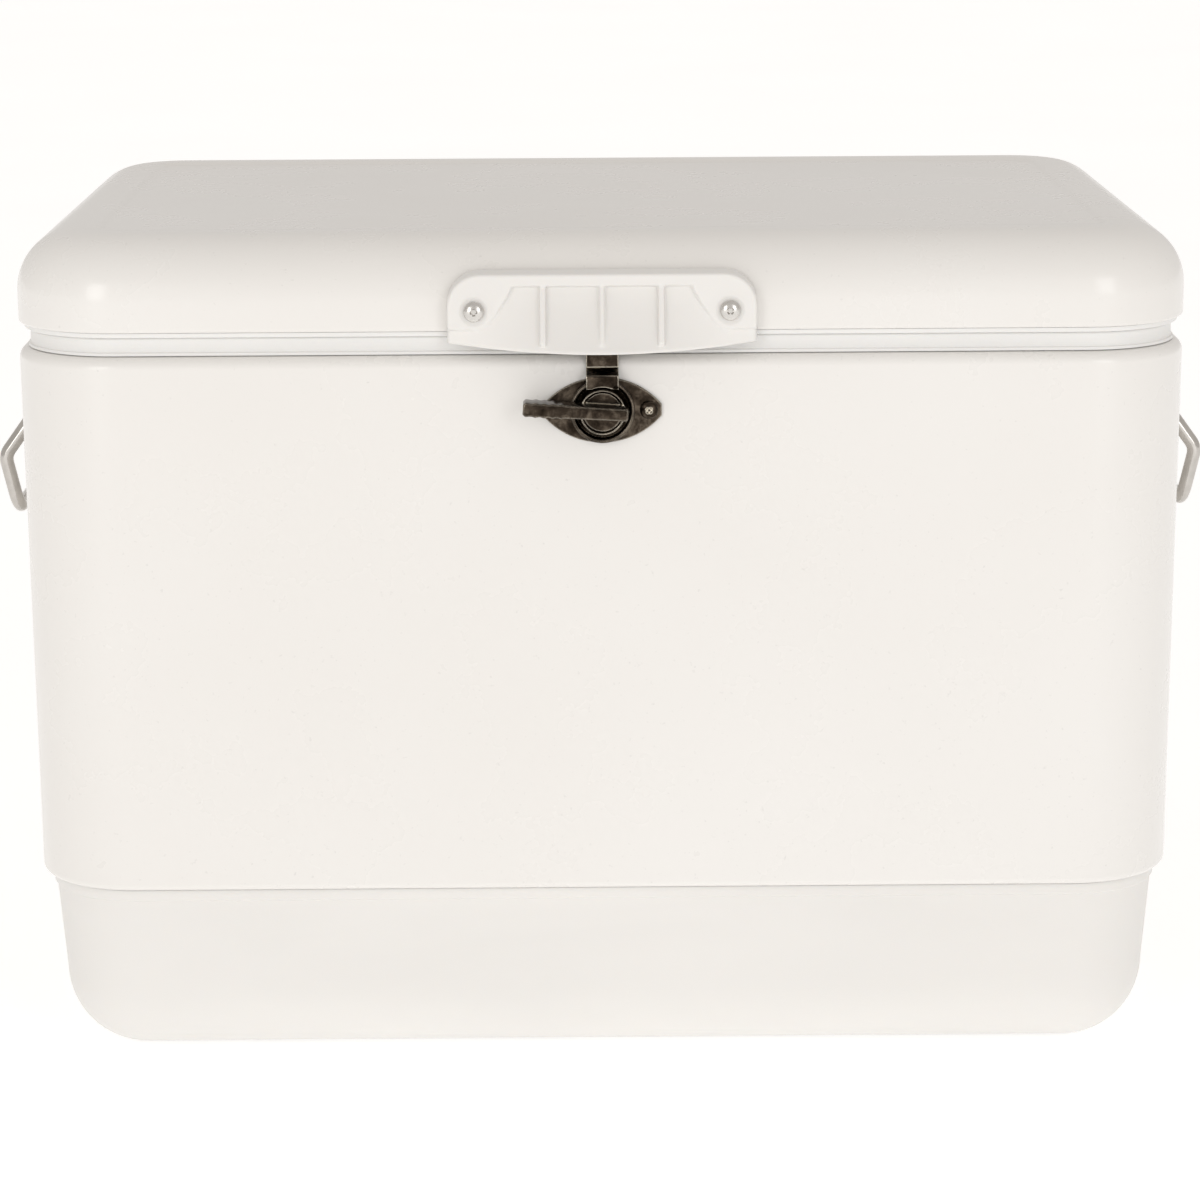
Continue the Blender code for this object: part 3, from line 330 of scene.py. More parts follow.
def cut(obj, cutter, operation="DIFFERENCE"):
    modifier = obj.modifiers.new("cut", "BOOLEAN")
    modifier.operation = operation
    modifier.solver = "EXACT"
    modifier.object = cutter
    apply_modifiers(obj)
    bpy.data.objects.remove(cutter)
    return obj


def rounded_rectangle(half_x, half_y, radius, z):
    points = []
    for sx, sy, start in ((1, -1, -90), (1, 1, 0), (-1, 1, 90), (-1, -1, 180)):
        for step in range(CORNER_STEPS + 1):
            angle = math.radians(start + 90 * step / CORNER_STEPS)
            x = sx * (half_x - radius) + radius * math.cos(angle)
            y = sy * (half_y - radius) + radius * math.sin(angle)
            points.append((x, y, z))
    return points


def body_ring(inset, z, radius=None):
    if radius is None:
        radius = max(CORNER_RADIUS - inset, LEAST_RADIUS)
    return rounded_rectangle(SIDE - inset, REAR - inset, radius, z)


def arc(centre_inset, centre_z, radius, start, end, steps):
    """(inset, z) pairs round an arc: 0 degrees points outwards and 90 up."""
    pairs = []
    for step in range(steps + 1):
        angle = math.radians(start + (end - start) * step / steps)
        pairs.append((centre_inset - radius * math.cos(angle), centre_z + radius * math.sin(angle)))
    return pairs


def skin(name, rings, cap_start=False, cap_end=False, flip=False):
    """A skin through rings of equal point counts. It faces outwards where it rises, unless flipped."""
    mesh = bmesh.new()
    loops = [[mesh.verts.new(point) for point in ring] for ring in rings]
    count = len(loops[0])
    for lower, upper in zip(loops, loops[1:]):
        for i in range(count):
            j = (i + 1) % count
            mesh.faces.new((lower[i], lower[j], upper[j], upper[i]))
    if cap_start:
        mesh.faces.new(loops[0][::-1])
    if cap_end:
        mesh.faces.new(loops[-1])
    if flip:
        bmesh.ops.reverse_faces(mesh, faces=mesh.faces)
    return from_bmesh(name, mesh)


def thicken(obj, thickness):
    modifier = obj.modifiers.new("thickness", "SOLIDIFY")
    modifier.thickness = thickness
    modifier.offset = -1
    modifier.use_even_offset = True
    modifier.use_quality_normals = True
    return apply_modifiers(obj)


def turned(name, profile, location=(0, 0, 0), rotation=(0, 0, 0), steps=64):
    """A turned piece: (radius, height) pairs from the bottom, up the outside, to the top."""
    rings = []
    for radius, height in profile:
        radius = max(radius, 0.00001)
        rings.append(
            [
                (
                    radius * math.cos(2 * math.pi * i / steps),
                    radius * math.sin(2 * math.pi * i / steps),
                    height,
                )
                for i in range(steps)
            ]
        )
    closed = profile[0] == profile[-1]
    if closed:
        rings = rings[:-1]
    mesh = bmesh.new()
    loops = [[mesh.verts.new(point) for point in ring] for ring in rings]
    pairs = list(zip(loops, loops[1:]))
    if closed:
        pairs.append((loops[-1], loops[0]))
    for lower, upper in pairs:
        for i in range(steps):
            j = (i + 1) % steps
            mesh.faces.new((lower[i], lower[j], upper[j], upper[i]))
    if not closed:
        mesh.faces.new(loops[0][::-1])
        mesh.faces.new(loops[-1])
    obj = from_bmesh(name, mesh)
    obj.location = location
    obj.rotation_euler = rotation
    return smooth(obj)


def prism(name, outline, low, high, location=(0, 0, 0), rotation=(0, 0, 0)):
    """An outline of (x, y) points, anticlockwise, drawn out from low to high along its own Z."""
    mesh = bmesh.new()
    bottom = [mesh.verts.new((x, y, low)) for x, y in outline]
    top = [mesh.verts.new((x, y, high)) for x, y in outline]
    for i in range(len(outline)):
        j = (i + 1) % len(outline)
        mesh.faces.new((bottom[i], bottom[j], top[j], top[i]))
    mesh.faces.new(bottom[::-1])
    mesh.faces.new(top)
    bmesh.ops.recalc_face_normals(mesh, faces=mesh.faces)
    obj = from_bmesh(name, mesh)
    obj.location = location
    obj.rotation_euler = rotation
    return obj


# ---------------------------------------------------------------- tub


def make_base_tub():
    low_inset, high_inset = 12.2 * MM, 8.4 * MM
    foot = 43 * MM
    rim = BELT_LOW[2] - 6.6 * MM
    band = 7.2 * MM
    profile = [(60 * MM, 0.0)] + arc(low_inset + foot, foot, foot, -90, 0, 22)
    profile += [
        (high_inset + 0.05 * MM, rim - 1.4 * MM),
        (high_inset, rim - 0.6 * MM),
        (band + 0.35 * MM, rim + 0.1 * MM),
        (band, rim + 0.6 * MM),
        (band, BELT_LOW[2] - 0.9 * MM),
        (band + 0.5 * MM, BELT_LOW[2] - 0.45 * MM),
        (9 * MM, BELT_LOW[2] - 0.42 * MM),
        (9 * MM, BASE_HIGH[2]),
    ]
    tub = skin("tub_base", [body_ring(i, z) for i, z in profile], cap_start=True)
    thicken(tub, 3 * MM)
    return stand_in(smooth(tub, 40), "base_tub")


def make_steel_belt():
    taper = 1.6 * MM
    low_roll, top_roll = 4 * MM, 6 * MM
    profile = arc(taper + low_roll, BELT_LOW[2] + low_roll, low_roll, -90, 0, 10)
    profile += arc(top_roll, BELT_HIGH[2] - top_roll, top_roll, 0, 90, 14)
    belt = skin("belt", [body_ring(i, z) for i, z in profile])
    thicken(belt, 0.8 * MM)
    return stand_in(smooth(belt, 60), "steel_belt")


def cavity_ring(inset, z, offset=0.0):
    return body_ring(inset - offset, z, 40 * MM + offset)


def make_inner_liner():
    low_inset, fillet, floor = 48 * MM, 12 * MM, 50 * MM
    top = LINER_HIGH[2]
    collar = BELT_HIGH[2] + 2 * MM
    rings = []
    for inset, z in arc(low_inset + fillet, floor + fillet, fillet, -90, 0, 10):
        rings.append(body_ring(inset, z, 40 * MM - (inset - low_inset)))
    for inset, z in arc(36 * MM, top - 3 * MM, 3 * MM, 180, 90, 8):
        rings.append(cavity_ring(inset - 3 * MM, z))
    for inset, z in arc(6 * MM + 1.5 * MM, top - 1.5 * MM, 1.5 * MM, 90, 0, 6):
        rings.append(body_ring(inset, z))
    rings.append(body_ring(6 * MM, collar + 0.4 * MM))
    rings.append(body_ring(5.7 * MM, collar))
    rings.append(body_ring(5.0 * MM, collar - 0.25 * MM))
    rings.append(body_ring(4.8 * MM, collar - 0.7 * MM))
    rings.append(body_ring(4.8 * MM, BELT_HIGH[2] + 0.4 * MM))
    liner = skin("liner", rings, cap_start=True, flip=True)
    thicken(liner, 2.5 * MM)
    return stand_in(smooth(liner, 45), "inner_liner")


# ---------------------------------------------------------------- lid


def make_lid_shell():
    edge = 31.6 * MM
    low, top = SHELL_LOW[2], SHELL_HIGH[2]
    panel, depth = 45 * MM, 1.4 * MM
    profile = [(9 * MM, low)] + arc(1.5 * MM, low + 1.5 * MM, 1.5 * MM, -90, 0, 8)
    profile += arc(edge, top - edge, edge, 0, 90, 28)
    steps = 8
    for step in range(steps + 1):
        share = step / steps
        fall = share * share * (3 - 2 * share)
        profile.append((panel - 5 * MM + 5 * MM * share, top - depth * fall))
    profile.append((panel + 10 * MM, top - depth))
    lid = skin("lid_skin", [body_ring(i, z) for i, z in profile], cap_end=True)
    thicken(lid, 1 * MM)
    return stand_in(smooth(lid, 50), "lid_shell")


def plug_ring(inset, z):
    return body_ring(inset, z, 40 * MM - (inset - 36 * MM))


def make_lid_liner():
    flange_z = LID_LINER_LOW[2] + 12 * MM
    low = LID_LINER_LOW[2]
    plug = 41 * MM
    rings = [plug_ring(plug + 16 * MM, low + 1.5 * MM), plug_ring(plug + 13 * MM, low + 1.5 * MM)]
    rings += [plug_ring(plug + 11 * MM, low)]
    for inset, z in arc(plug + 4 * MM, low + 3 * MM, 3 * MM, -90, 0, 8):
        rings.append(plug_ring(inset, z))
    rings.append(plug_ring(plug, flange_z - 1 * MM))
    rings.append(plug_ring(plug - 1 * MM, flange_z))
    rings.append(body_ring(3.6 * MM, flange_z))
    for inset, z in arc(3.6 * MM, flange_z + 0.6 * MM, 0.6 * MM, -90, 0, 5)[1:]:
        rings.append(body_ring(inset, z))
    rings.append(body_ring(3 * MM, SHELL_LOW[2] - 0.4 * MM))
    liner = skin("lid_lining", rings, cap_start=True)
    thicken(liner, 1.8 * MM)
    return stand_in(smooth(liner, 45), "lid_liner")


make_base_tub()
make_steel_belt()
make_inner_liner()
make_lid_shell()
make_lid_liner()


# ---------------------------------------------------------------- lid handle

HANDLE_HALF = HANDLE_HIGH[0]
HANDLE_TOP = HANDLE_HIGH[2] - 1.3 * MM
HANDLE_LIP = HANDLE_LOW[2]
HANDLE_CORNER = 17 * MM
LEDGE_Z = HANDLE_TOP - 6.2 * MM
FRAME_DEPTH, ROOT_DEPTH, LIP_DEPTH, END_DEPTH = 9 * MM, 5.5 * MM, 19.5 * MM, 4 * MM
HANDLE_WALL = 2.6 * MM
PAD_BOTTOM = 393.3 * MM
PAD_EDGE_TOP, PAD_EDGE_BOTTOM = 45 * MM, 59 * MM
RIB_PITCH = 29.6 * MM
HANDLE_SCREW = (64 * MM, 402.5 * MM)


def ease(low, high, value):
    share = min(max((value - low) / (high - low), 0), 1)
    return share * share * (3 - 2 * share)


def handle_top(x):
    past = max(abs(x) - (HANDLE_HALF - HANDLE_CORNER), 0)
    return HANDLE_TOP - HANDLE_CORNER + math.sqrt(max(HANDLE_CORNER**2 - past**2, 0))


def handle_bottom(x):
    return HANDLE_LIP + 4 * MM * (x / HANDLE_HALF) ** 2


def from_edge(x, z):
    """How far a point of the handle lies inside its outline's sides and top."""
    across = abs(x) - (HANDLE_HALF - HANDLE_CORNER)
    up = z - (HANDLE_TOP - HANDLE_CORNER)
    if across > 0 and up > 0:
        return HANDLE_CORNER - math.hypot(across, up)
    return HANDLE_CORNER - max(across, up, 0)


def skirt_depth(x, z):
    share = min(max((LEDGE_Z - z) / (LEDGE_Z - HANDLE_LIP), 0), 1)
    lip = END_DEPTH + (LIP_DEPTH - END_DEPTH) * (1 - (x / HANDLE_HALF) ** 2)
    return ROOT_DEPTH + (lip - ROOT_DEPTH) * share**1.5


def frame_share(x, z):
    """1 on the ledge and the screw pads, 0 on the skirt, with a soft step between."""
    share = min(max((LEDGE_Z - z) / (LEDGE_Z - PAD_BOTTOM), 0), 1)
    edge = PAD_EDGE_TOP + (PAD_EDGE_BOTTOM - PAD_EDGE_TOP) * share**1.25
    corner = 5 * MM
    inside = abs(x) - edge
    above = z - PAD_BOTTOM
    if inside < corner and above < corner:
        pad = corner - math.hypot(corner - inside, corner - above)
    else:
        pad = min(inside, above)
    ledge = z - LEDGE_Z
    return ease(-1.1 * MM, 0.5 * MM, max(pad, ledge))


def handle_front(x, z):
    depth = skirt_depth(x, z)
    for centre in (-RIB_PITCH, 0, RIB_PITCH):
        side = 1 - ease(1.0 * MM, 2.0 * MM, abs(x - centre))
        foot = ease(HANDLE_LIP + 3.2 * MM, HANDLE_LIP + 5.2 * MM, z)
        share = min(max((LEDGE_Z - z) / (LEDGE_Z - HANDLE_LIP), 0), 1)
        rib = FRAME_DEPTH - 0.4 * MM + (LIP_DEPTH - FRAME_DEPTH) * share
        depth = max(depth, depth + (rib - depth) * side * foot)
    depth += max(FRAME_DEPTH - depth, 0) * frame_share(x, z)
    away = math.hypot(abs(x) - HANDLE_SCREW[0], z - HANDLE_SCREW[1])
    depth -= 0.45 * MM * (1 - ease(6.4 * MM, 7.2 * MM, away))
    radius = 1.6 * MM
    edge = from_edge(x, z)
    if edge < radius:
        depth -= radius - math.sqrt(max(radius**2 - (radius - edge) ** 2, 0))
    lip = z - handle_bottom(x)
    if lip < 0.8 * MM:
        depth -= 0.8 * MM - math.sqrt(max((0.8 * MM) ** 2 - (0.8 * MM - lip) ** 2, 0))
    return depth


def handle_back(x, z, front):
    solid = max(frame_share(x, z) if abs(x) > PAD_EDGE_TOP else 0, ease(LEDGE_Z, LEDGE_Z + 1 * MM, z))
    hollow = max(skirt_depth(x, z) - HANDLE_WALL, 0.4 * MM)
    back = hollow + (0.4 * MM - hollow) * solid
    return min(back, front - 0.8 * MM)


def make_lid_handle():
    """Two sheets over one grid, front and back, closed round the edge."""
    across, down = 230, 66
    mesh = bmesh.new()
    sheets = [[], []]
    for i in range(down + 1):
        share = 1 - i / down
        share = 1 - (1 - share) * (0.55 + 0.45 * (1 - share))
        lines = [[], []]
        for j in range(across + 1):
            s = 1 - 2 * j / across
            x = HANDLE_HALF * (0.6 * s + 0.4 * math.sin(s * math.pi / 2))
            z = handle_bottom(x) + share * (handle_top(x) - handle_bottom(x))
            front = handle_front(x, z)
            back = handle_back(x, z, front)
            rise = 1.3 * MM if i == 0 else 0
            lines[0].append(mesh.verts.new((x, FRONT - front, z)))
            lines[1].append(mesh.verts.new((x, FRONT - back, z + rise)))
        for sheet, line in zip(sheets, lines):
            sheet.append(line)
    front, back = sheets
    for i in range(down):
        for j in range(across):
            mesh.faces.new((front[i][j], front[i][j + 1], front[i + 1][j + 1], front[i + 1][j]))
            mesh.faces.new((back[i][j], back[i + 1][j], back[i + 1][j + 1], back[i][j + 1]))
        for j, sign in ((0, 1), (-1, -1)):
            quad = (front[i][j], front[i + 1][j], back[i + 1][j], back[i][j])
            mesh.faces.new(quad[::sign])
    for j in range(across):
        mesh.faces.new((front[0][j], back[0][j], back[0][j + 1], front[0][j + 1]))
        mesh.faces.new((front[-1][j], front[-1][j + 1], back[-1][j + 1], back[-1][j]))
    bmesh.ops.recalc_face_normals(mesh, faces=mesh.faces)
    return stand_in(smooth(from_bmesh("lid_pull", mesh), 50), "lid_handle")


# ---------------------------------------------------------------- screws


def phillips_head(name, radius, height):
    """A domed head with a cross recess, and a short shank behind it."""
    profile = [(1.2 * MM, -11 * MM), (1.9 * MM, -10 * MM), (1.9 * MM, 0.0), (radius - 0.3 * MM, 0.0)]
    profile += [(radius, 0.25 * MM)]
    for step in range(1, 13):
        angle = math.radians(90 * step / 12)
        profile.append((radius * math.cos(angle), 0.3 * MM + (height - 0.3 * MM) * math.sin(angle)))
    head = turned(name, profile, steps=48)
    arm, width = radius * 0.52, radius * 0.17
    cross = bmesh.new()
    for turn in (0, 90):
        made = bmesh.ops.create_cube(cross, size=1)["verts"]
        bmesh.ops.scale(cross, vec=(2 * arm, 2 * width, 2.4 * MM), verts=made)
        for vert in made:
            if vert.co.z < 0:
                vert.co.x *= 0.45
                vert.co.y *= 0.7
        quarter = Matrix.Rotation(math.radians(turn), 3, "Z")
        bmesh.ops.rotate(cross, cent=(0, 0, 0), matrix=quarter, verts=made)
        bmesh.ops.translate(cross, vec=(0, 0, height), verts=made)
    cutter = from_bmesh(name + "_cross", cross)
    modifier = head.modifiers.new("cut", "BOOLEAN")
    modifier.solver = "EXACT"
    modifier.use_self = True
    modifier.object = cutter
    apply_modifiers(head)
    bpy.data.objects.remove(cutter)
    smooth(head, 35)
    mesh = head.data
    bpy.data.objects.remove(head)
    return mesh


def face_of(node):
    """Which face a screw is in, from the box of its node."""
    low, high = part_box(node)
    centre = (Vector(low) + Vector(high)) / 2
    spans = [h - l for l, h in zip(low, high)]
    if spans[0] == max(spans):
        return "right" if centre.x > 0 else "left"
    return "rear" if centre.y > 0 else "front"


def make_screws():
    """Every screw shows a fine head where its CAD node's head is."""
    meshes = {
        "handle": phillips_head("screw_large", 5.2 * MM, 2.7 * MM),
        "other": phillips_head("screw_small", 4.6 * MM, 2.3 * MM),
    }
    nodes = sorted(node for node in frame["nodes"] if "_screw" in node)
    for count, node in enumerate(nodes):
        low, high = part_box(node)
        face = face_of(node)
        centre = (Vector(low) + Vector(high)) / 2
        kind = "handle" if "handle" in node else "other"
        height = 2.8 * MM if kind == "handle" else 2.4 * MM
        seat = {
            "front": (centre.x, low[1] + height, centre.z),
            "rear": (centre.x, high[1] - height, centre.z),
            "right": (high[0] - height, centre.y, centre.z),
            "left": (low[0] + height, centre.y, centre.z),
        }[face]
        data = meshes[kind].copy()
        data.transform(Matrix.Rotation(math.radians(37 * count + 12), 4, "Z"))
        obj = add_object(node + "_head", data, seat, FACE_TURN[face])
        stand_in(obj, node)


# ---------------------------------------------------------------- latch

LATCH_CENTRE = Vector((0, FRONT, (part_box("latch_plate")[0][2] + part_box("latch_plate")[1][2]) / 2))
PLATE_LOW, PLATE_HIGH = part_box("latch_plate")


def lens_outline(half_width, half_height, tip_radius=2.2 * MM):
    """Two equal arcs that meet in round tips at the left and right."""
    reach_x = half_width + tip_radius * 0.4
    radius = (reach_x**2 + half_height**2) / (2 * half_height)
    reach = math.asin((reach_x - tip_radius) / radius)
    points = []
    for side in (1, -1):
        for step in range(41):
            angle = reach * (1 - 2 * step / 40)
            x = side * radius * math.sin(angle)
            points.append((x, side * (radius * math.cos(angle) - radius + half_height)))
    return points


def make_latch_plate():
    half_width, half_height = PLATE_HIGH[0], (PLATE_HIGH[2] - PLATE_LOW[2]) / 2
    plate = prism(
        "latch_base",
        lens_outline(half_width + 0.4 * MM, half_height),
        0.4 * MM,
        1.8 * MM,
        LATCH_CENTRE,
        FACE_TURN["front"],
    )
    bevel(plate, 0.55 * MM, 4, 50)
    apply_modifiers(plate)
    return stand_in(smooth(plate, 40), "latch_plate")


def make_latch_housing():
    profile = [
        (4.6 * MM, 2.1 * MM),
        (16.2 * MM, 2.1 * MM),
        (16.4 * MM, 2.5 * MM),
    ]
    for degrees in range(0, 181, 18):
        angle = math.radians(degrees)
        profile.append((15.2 * MM + 1.2 * MM * math.cos(angle), 4.7 * MM + 1.2 * MM * math.sin(angle)))
    profile += [(13.6 * MM, 3.3 * MM), (13.0 * MM, 3.0 * MM), (4.6 * MM, 3.0 * MM), (4.6 * MM, 2.1 * MM)]
    ring = turned("latch_cup", profile, LATCH_CENTRE, FACE_TURN["front"], 96)
    return stand_in(ring, "latch_housing")


def lever_outline():
    """The bar seen from the front: a plain shank, then flutes along the grip at the left."""
    left, right, half = -40 * MM, 12.7 * MM, 3.7 * MM
    upper = []
    start, pitch, count = -18.5 * MM, 4.3 * MM, 4
    upper.append((right - 0.4 * MM, half * 0.82))
    upper.append((start + 3 * MM, half * 0.88))
    for step in range(count * 10 + 1):
        x = start - step / 10 * pitch
        wave = (1 - math.cos(2 * math.pi * step / 10)) / 2
        upper.append((x, half * (0.88 + 0.12 * wave)))
    upper.append((left + 1.2 * MM, half * 0.98))
    lower = [(x, -y) for x, y in upper]
    ends = [(left, 2.4 * MM), (left, -2.4 * MM)]
    tip = [(right, -2.2 * MM), (right, 2.2 * MM)]
    return upper + ends + lower[::-1] + tip


def make_latch_lever():
    low, high = 3.5 * MM, 9.5 * MM
    profile = [(3.9 * MM, -3 * MM), (3.9 * MM, low), (11.3 * MM, low), (11.5 * MM, low + 0.3 * MM)]
    for degrees in range(0, 181, 20):
        angle = math.radians(degrees)
        rim = 0.6 * MM
        profile.append((10.9 * MM + rim * math.cos(angle), high - rim + rim * math.sin(angle)))
    profile += [(10.1 * MM, high - 1.0 * MM), (9.6 * MM, high - 1.2 * MM), (0.5 * MM, high - 1.2 * MM)]
    hub = turned("latch_handle", profile, LATCH_CENTRE, FACE_TURN["front"], 96)
    apply_modifiers(hub)
    bar = prism("latch_bar", lever_outline(), high - 1.3 * MM, high + 11.3 * MM)
    bar.data.transform(Matrix.Translation((0, 1.2 * MM, 0)))
    bar.data.transform(Matrix.Rotation(math.radians(-3.5), 4, "Z"))
    bar.location = LATCH_CENTRE
    bar.rotation_euler = FACE_TURN["front"]
    bevel(bar, 0.7 * MM, 4, 50)
    apply_modifiers(bar)
    modifier = hub.modifiers.new("join", "BOOLEAN")
    modifier.operation = "UNION"
    modifier.solver = "EXACT"
    modifier.object = bar
    apply_modifiers(hub)
    bpy.data.objects.remove(bar)
    return stand_in(smooth(hub, 35), "latch_lever")


def make_catch_strap():
    low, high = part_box("catch_strap")
    half = high[0]
    sheet = 1.6 * MM
    bend_z = 372 * MM
    back = [(-0.4 * MM, high[2]), (-0.4 * MM, bend_z + 0.8 * MM), (-0.65 * MM, bend_z + 0.1 * MM)]
    back += [(-6.1 * MM, bend_z - 3.0 * MM), (-6.4 * MM, bend_z - 3.7 * MM), (-6.4 * MM, low[2])]
    rises = (0, 0.1 * MM, 0.8 * MM, 0.8 * MM, 0.1 * MM, 0)
    front = [(y - sheet, z + rise) for (y, z), rise in zip(back, rises)]
    outline = [(FRONT + y, z) for y, z in back + front[::-1]]
    strap = prism("catch", outline, -half, half, (0, 0, 0), (math.pi / 2, 0, math.pi / 2))
    bpy.context.view_layer.update()
    round_cut = turned(
        "catch_cut", [(12.5 * MM, 0.0), (12.5 * MM, 30 * MM)], LATCH_CENTRE, FACE_TURN["front"], 96
    )
    cut(strap, round_cut)
    bevel(strap, 0.25 * MM, 3, 40)
    apply_modifiers(strap)
    return stand_in(smooth(strap, 35), "catch_strap")


def make_catch_rivets():
    for side in ("left", "right"):
        low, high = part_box(f"catch_rivet_{side}")
        centre = (Vector(low) + Vector(high)) / 2
        profile = [(1.1 * MM, -5 * MM), (1.2 * MM, 0.0), (2.4 * MM, 0.0), (2.6 * MM, 0.2 * MM)]
        for step in range(1, 9):
            angle = math.radians(90 * step / 8)
            profile.append((2.6 * MM * math.cos(angle), 0.2 * MM + 0.95 * MM * math.sin(angle)))
        rivet = turned(
            f"catch_rivet_head_{side}",
            profile,
            (centre.x, low[1] + 1.2 * MM, centre.z),
            FACE_TURN["front"],
            32,
        )
        stand_in(rivet, f"catch_rivet_{side}")


make_lid_handle()
make_screws()
make_latch_plate()
make_latch_housing()
make_latch_lever()
make_catch_strap()
make_catch_rivets()


# ---------------------------------------------------------------- side handles

JOINTS = {joint["name"]: joint for joint in frame["joints"]}
BARREL_HALF = 49 * MM


def fillet(corners, radius, steps=14):
    """Rounds the inner corners of a path of 3D points."""
    corners = [Vector(corner) for corner in corners]
    path = [corners[0]]
    for before, corner, after in zip(corners, corners[1:], corners[2:]):
        into = (corner - before).normalized()
        out = (after - corner).normalized()
        turn = into.angle(out)
        start = corner - into * radius * math.tan(turn / 2)
        centre = start + (out - into * into.dot(out)).normalized() * radius
        axis = into.cross(out).normalized()
        for step in range(steps + 1):
            spin = Matrix.Rotation(turn * step / steps, 3, axis)
            path.append(centre + spin @ (start - centre))
    path.append(corners[-1])
    return path


def make_bail(side, sign):
    """One bent rod: in at each end of the barrel, round the knees and along the grip."""
    pivot = Vector(JOINTS[f"{side}_bail_swing"]["pos_m"])
    rod, half, end = 3.7 * MM, 58 * MM, 36 * MM
    knee = (pivot.x + sign * 17.5 * MM, pivot.z - 24 * MM)
    grip = (pivot.x + sign * 11 * MM, pivot.z - 53 * MM)
    front = [
        (pivot.x, -end, pivot.z),
        (pivot.x, -half, pivot.z),
        (knee[0], -half, knee[1]),
        (grip[0], -half, grip[1]),
    ]
    path = fillet(front + [(x, -y, z) for x, y, z in front[::-1]], 9 * MM)
    curve = bpy.data.curves.new(f"{side}_bail_rod", "CURVE")
    curve.dimensions = "3D"
    curve.bevel_depth = rod
    curve.bevel_resolution = 7
    curve.use_fill_caps = True
    spline = curve.splines.new("POLY")
    spline.points.add(len(path) - 1)
    for point, place in zip(spline.points, path):
        point.co = (*place, 1)
    drawn = add_object(f"{side}_rod_curve", curve)
    bpy.context.view_layer.update()
    graph = bpy.context.evaluated_depsgraph_get()
    data = bpy.data.meshes.new_from_object(drawn.evaluated_get(graph))
    bpy.data.objects.remove(drawn)
    mesh = bmesh.new()
    mesh.from_mesh(data)
    bmesh.ops.remove_doubles(mesh, verts=mesh.verts, dist=0.000001)
    bmesh.ops.recalc_face_normals(mesh, faces=mesh.faces)
    bail = from_bmesh(f"{side}_bail_rod", mesh)
    return stand_in(smooth(bail, 50), f"{side}_bail")


def rounded_plate(name, half_x, half_y, radius, low, high, location, rotation):
    steps = 10
    points = []
    for sx, sy, start in ((1, -1, -90), (1, 1, 0), (-1, 1, 90), (-1, -1, 180)):
        for step in range(steps + 1):
            angle = math.radians(start + 90 * step / steps)
            points.append(
                (
                    sx * (half_x - radius) + radius * math.cos(angle),
                    sy * (half_y - radius) + radius * math.sin(angle),
                )
            )
    return prism(name, points, low, high, location, rotation)


def make_bracket(side, sign):
    """A pressed plate whose middle is rolled into a barrel round the bail's ends."""
    low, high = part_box(f"{side}_handle_bracket")
    centre_z = (low[2] + high[2]) / 2
    pivot = Vector(JOINTS[f"{side}_bail_swing"]["pos_m"])
    plate = rounded_plate(
        f"{side}_bracket",
        (high[2] - low[2]) / 2,
        (high[1] - low[1]) / 2,
        7 * MM,
        0.4 * MM,
        2.2 * MM,
        (sign * SIDE, 0, centre_z),
        FACE_TURN[side],
    )
    bevel(plate, 0.5 * MM, 3, 50)
    apply_modifiers(plate)
    along_y = (math.pi / 2, 0, 0)
    solid = [(5.4 * MM, -BARREL_HALF), (5.7 * MM, -BARREL_HALF + 0.3 * MM)]
    solid += [(5.7 * MM, BARREL_HALF - 0.3 * MM), (5.4 * MM, BARREL_HALF)]
    barrel = turned(f"{side}_barrel", solid, pivot, along_y, 48)
    cut(plate, barrel, "UNION")
    bore = turned(
        f"{side}_bore",
        [(4.25 * MM, -BARREL_HALF - 5 * MM), (4.25 * MM, BARREL_HALF + 5 * MM)],
        pivot,
        along_y,
        48,
    )
    cut(plate, bore)
    return stand_in(smooth(plate, 35), f"{side}_handle_bracket")


# ---------------------------------------------------------------- hinges


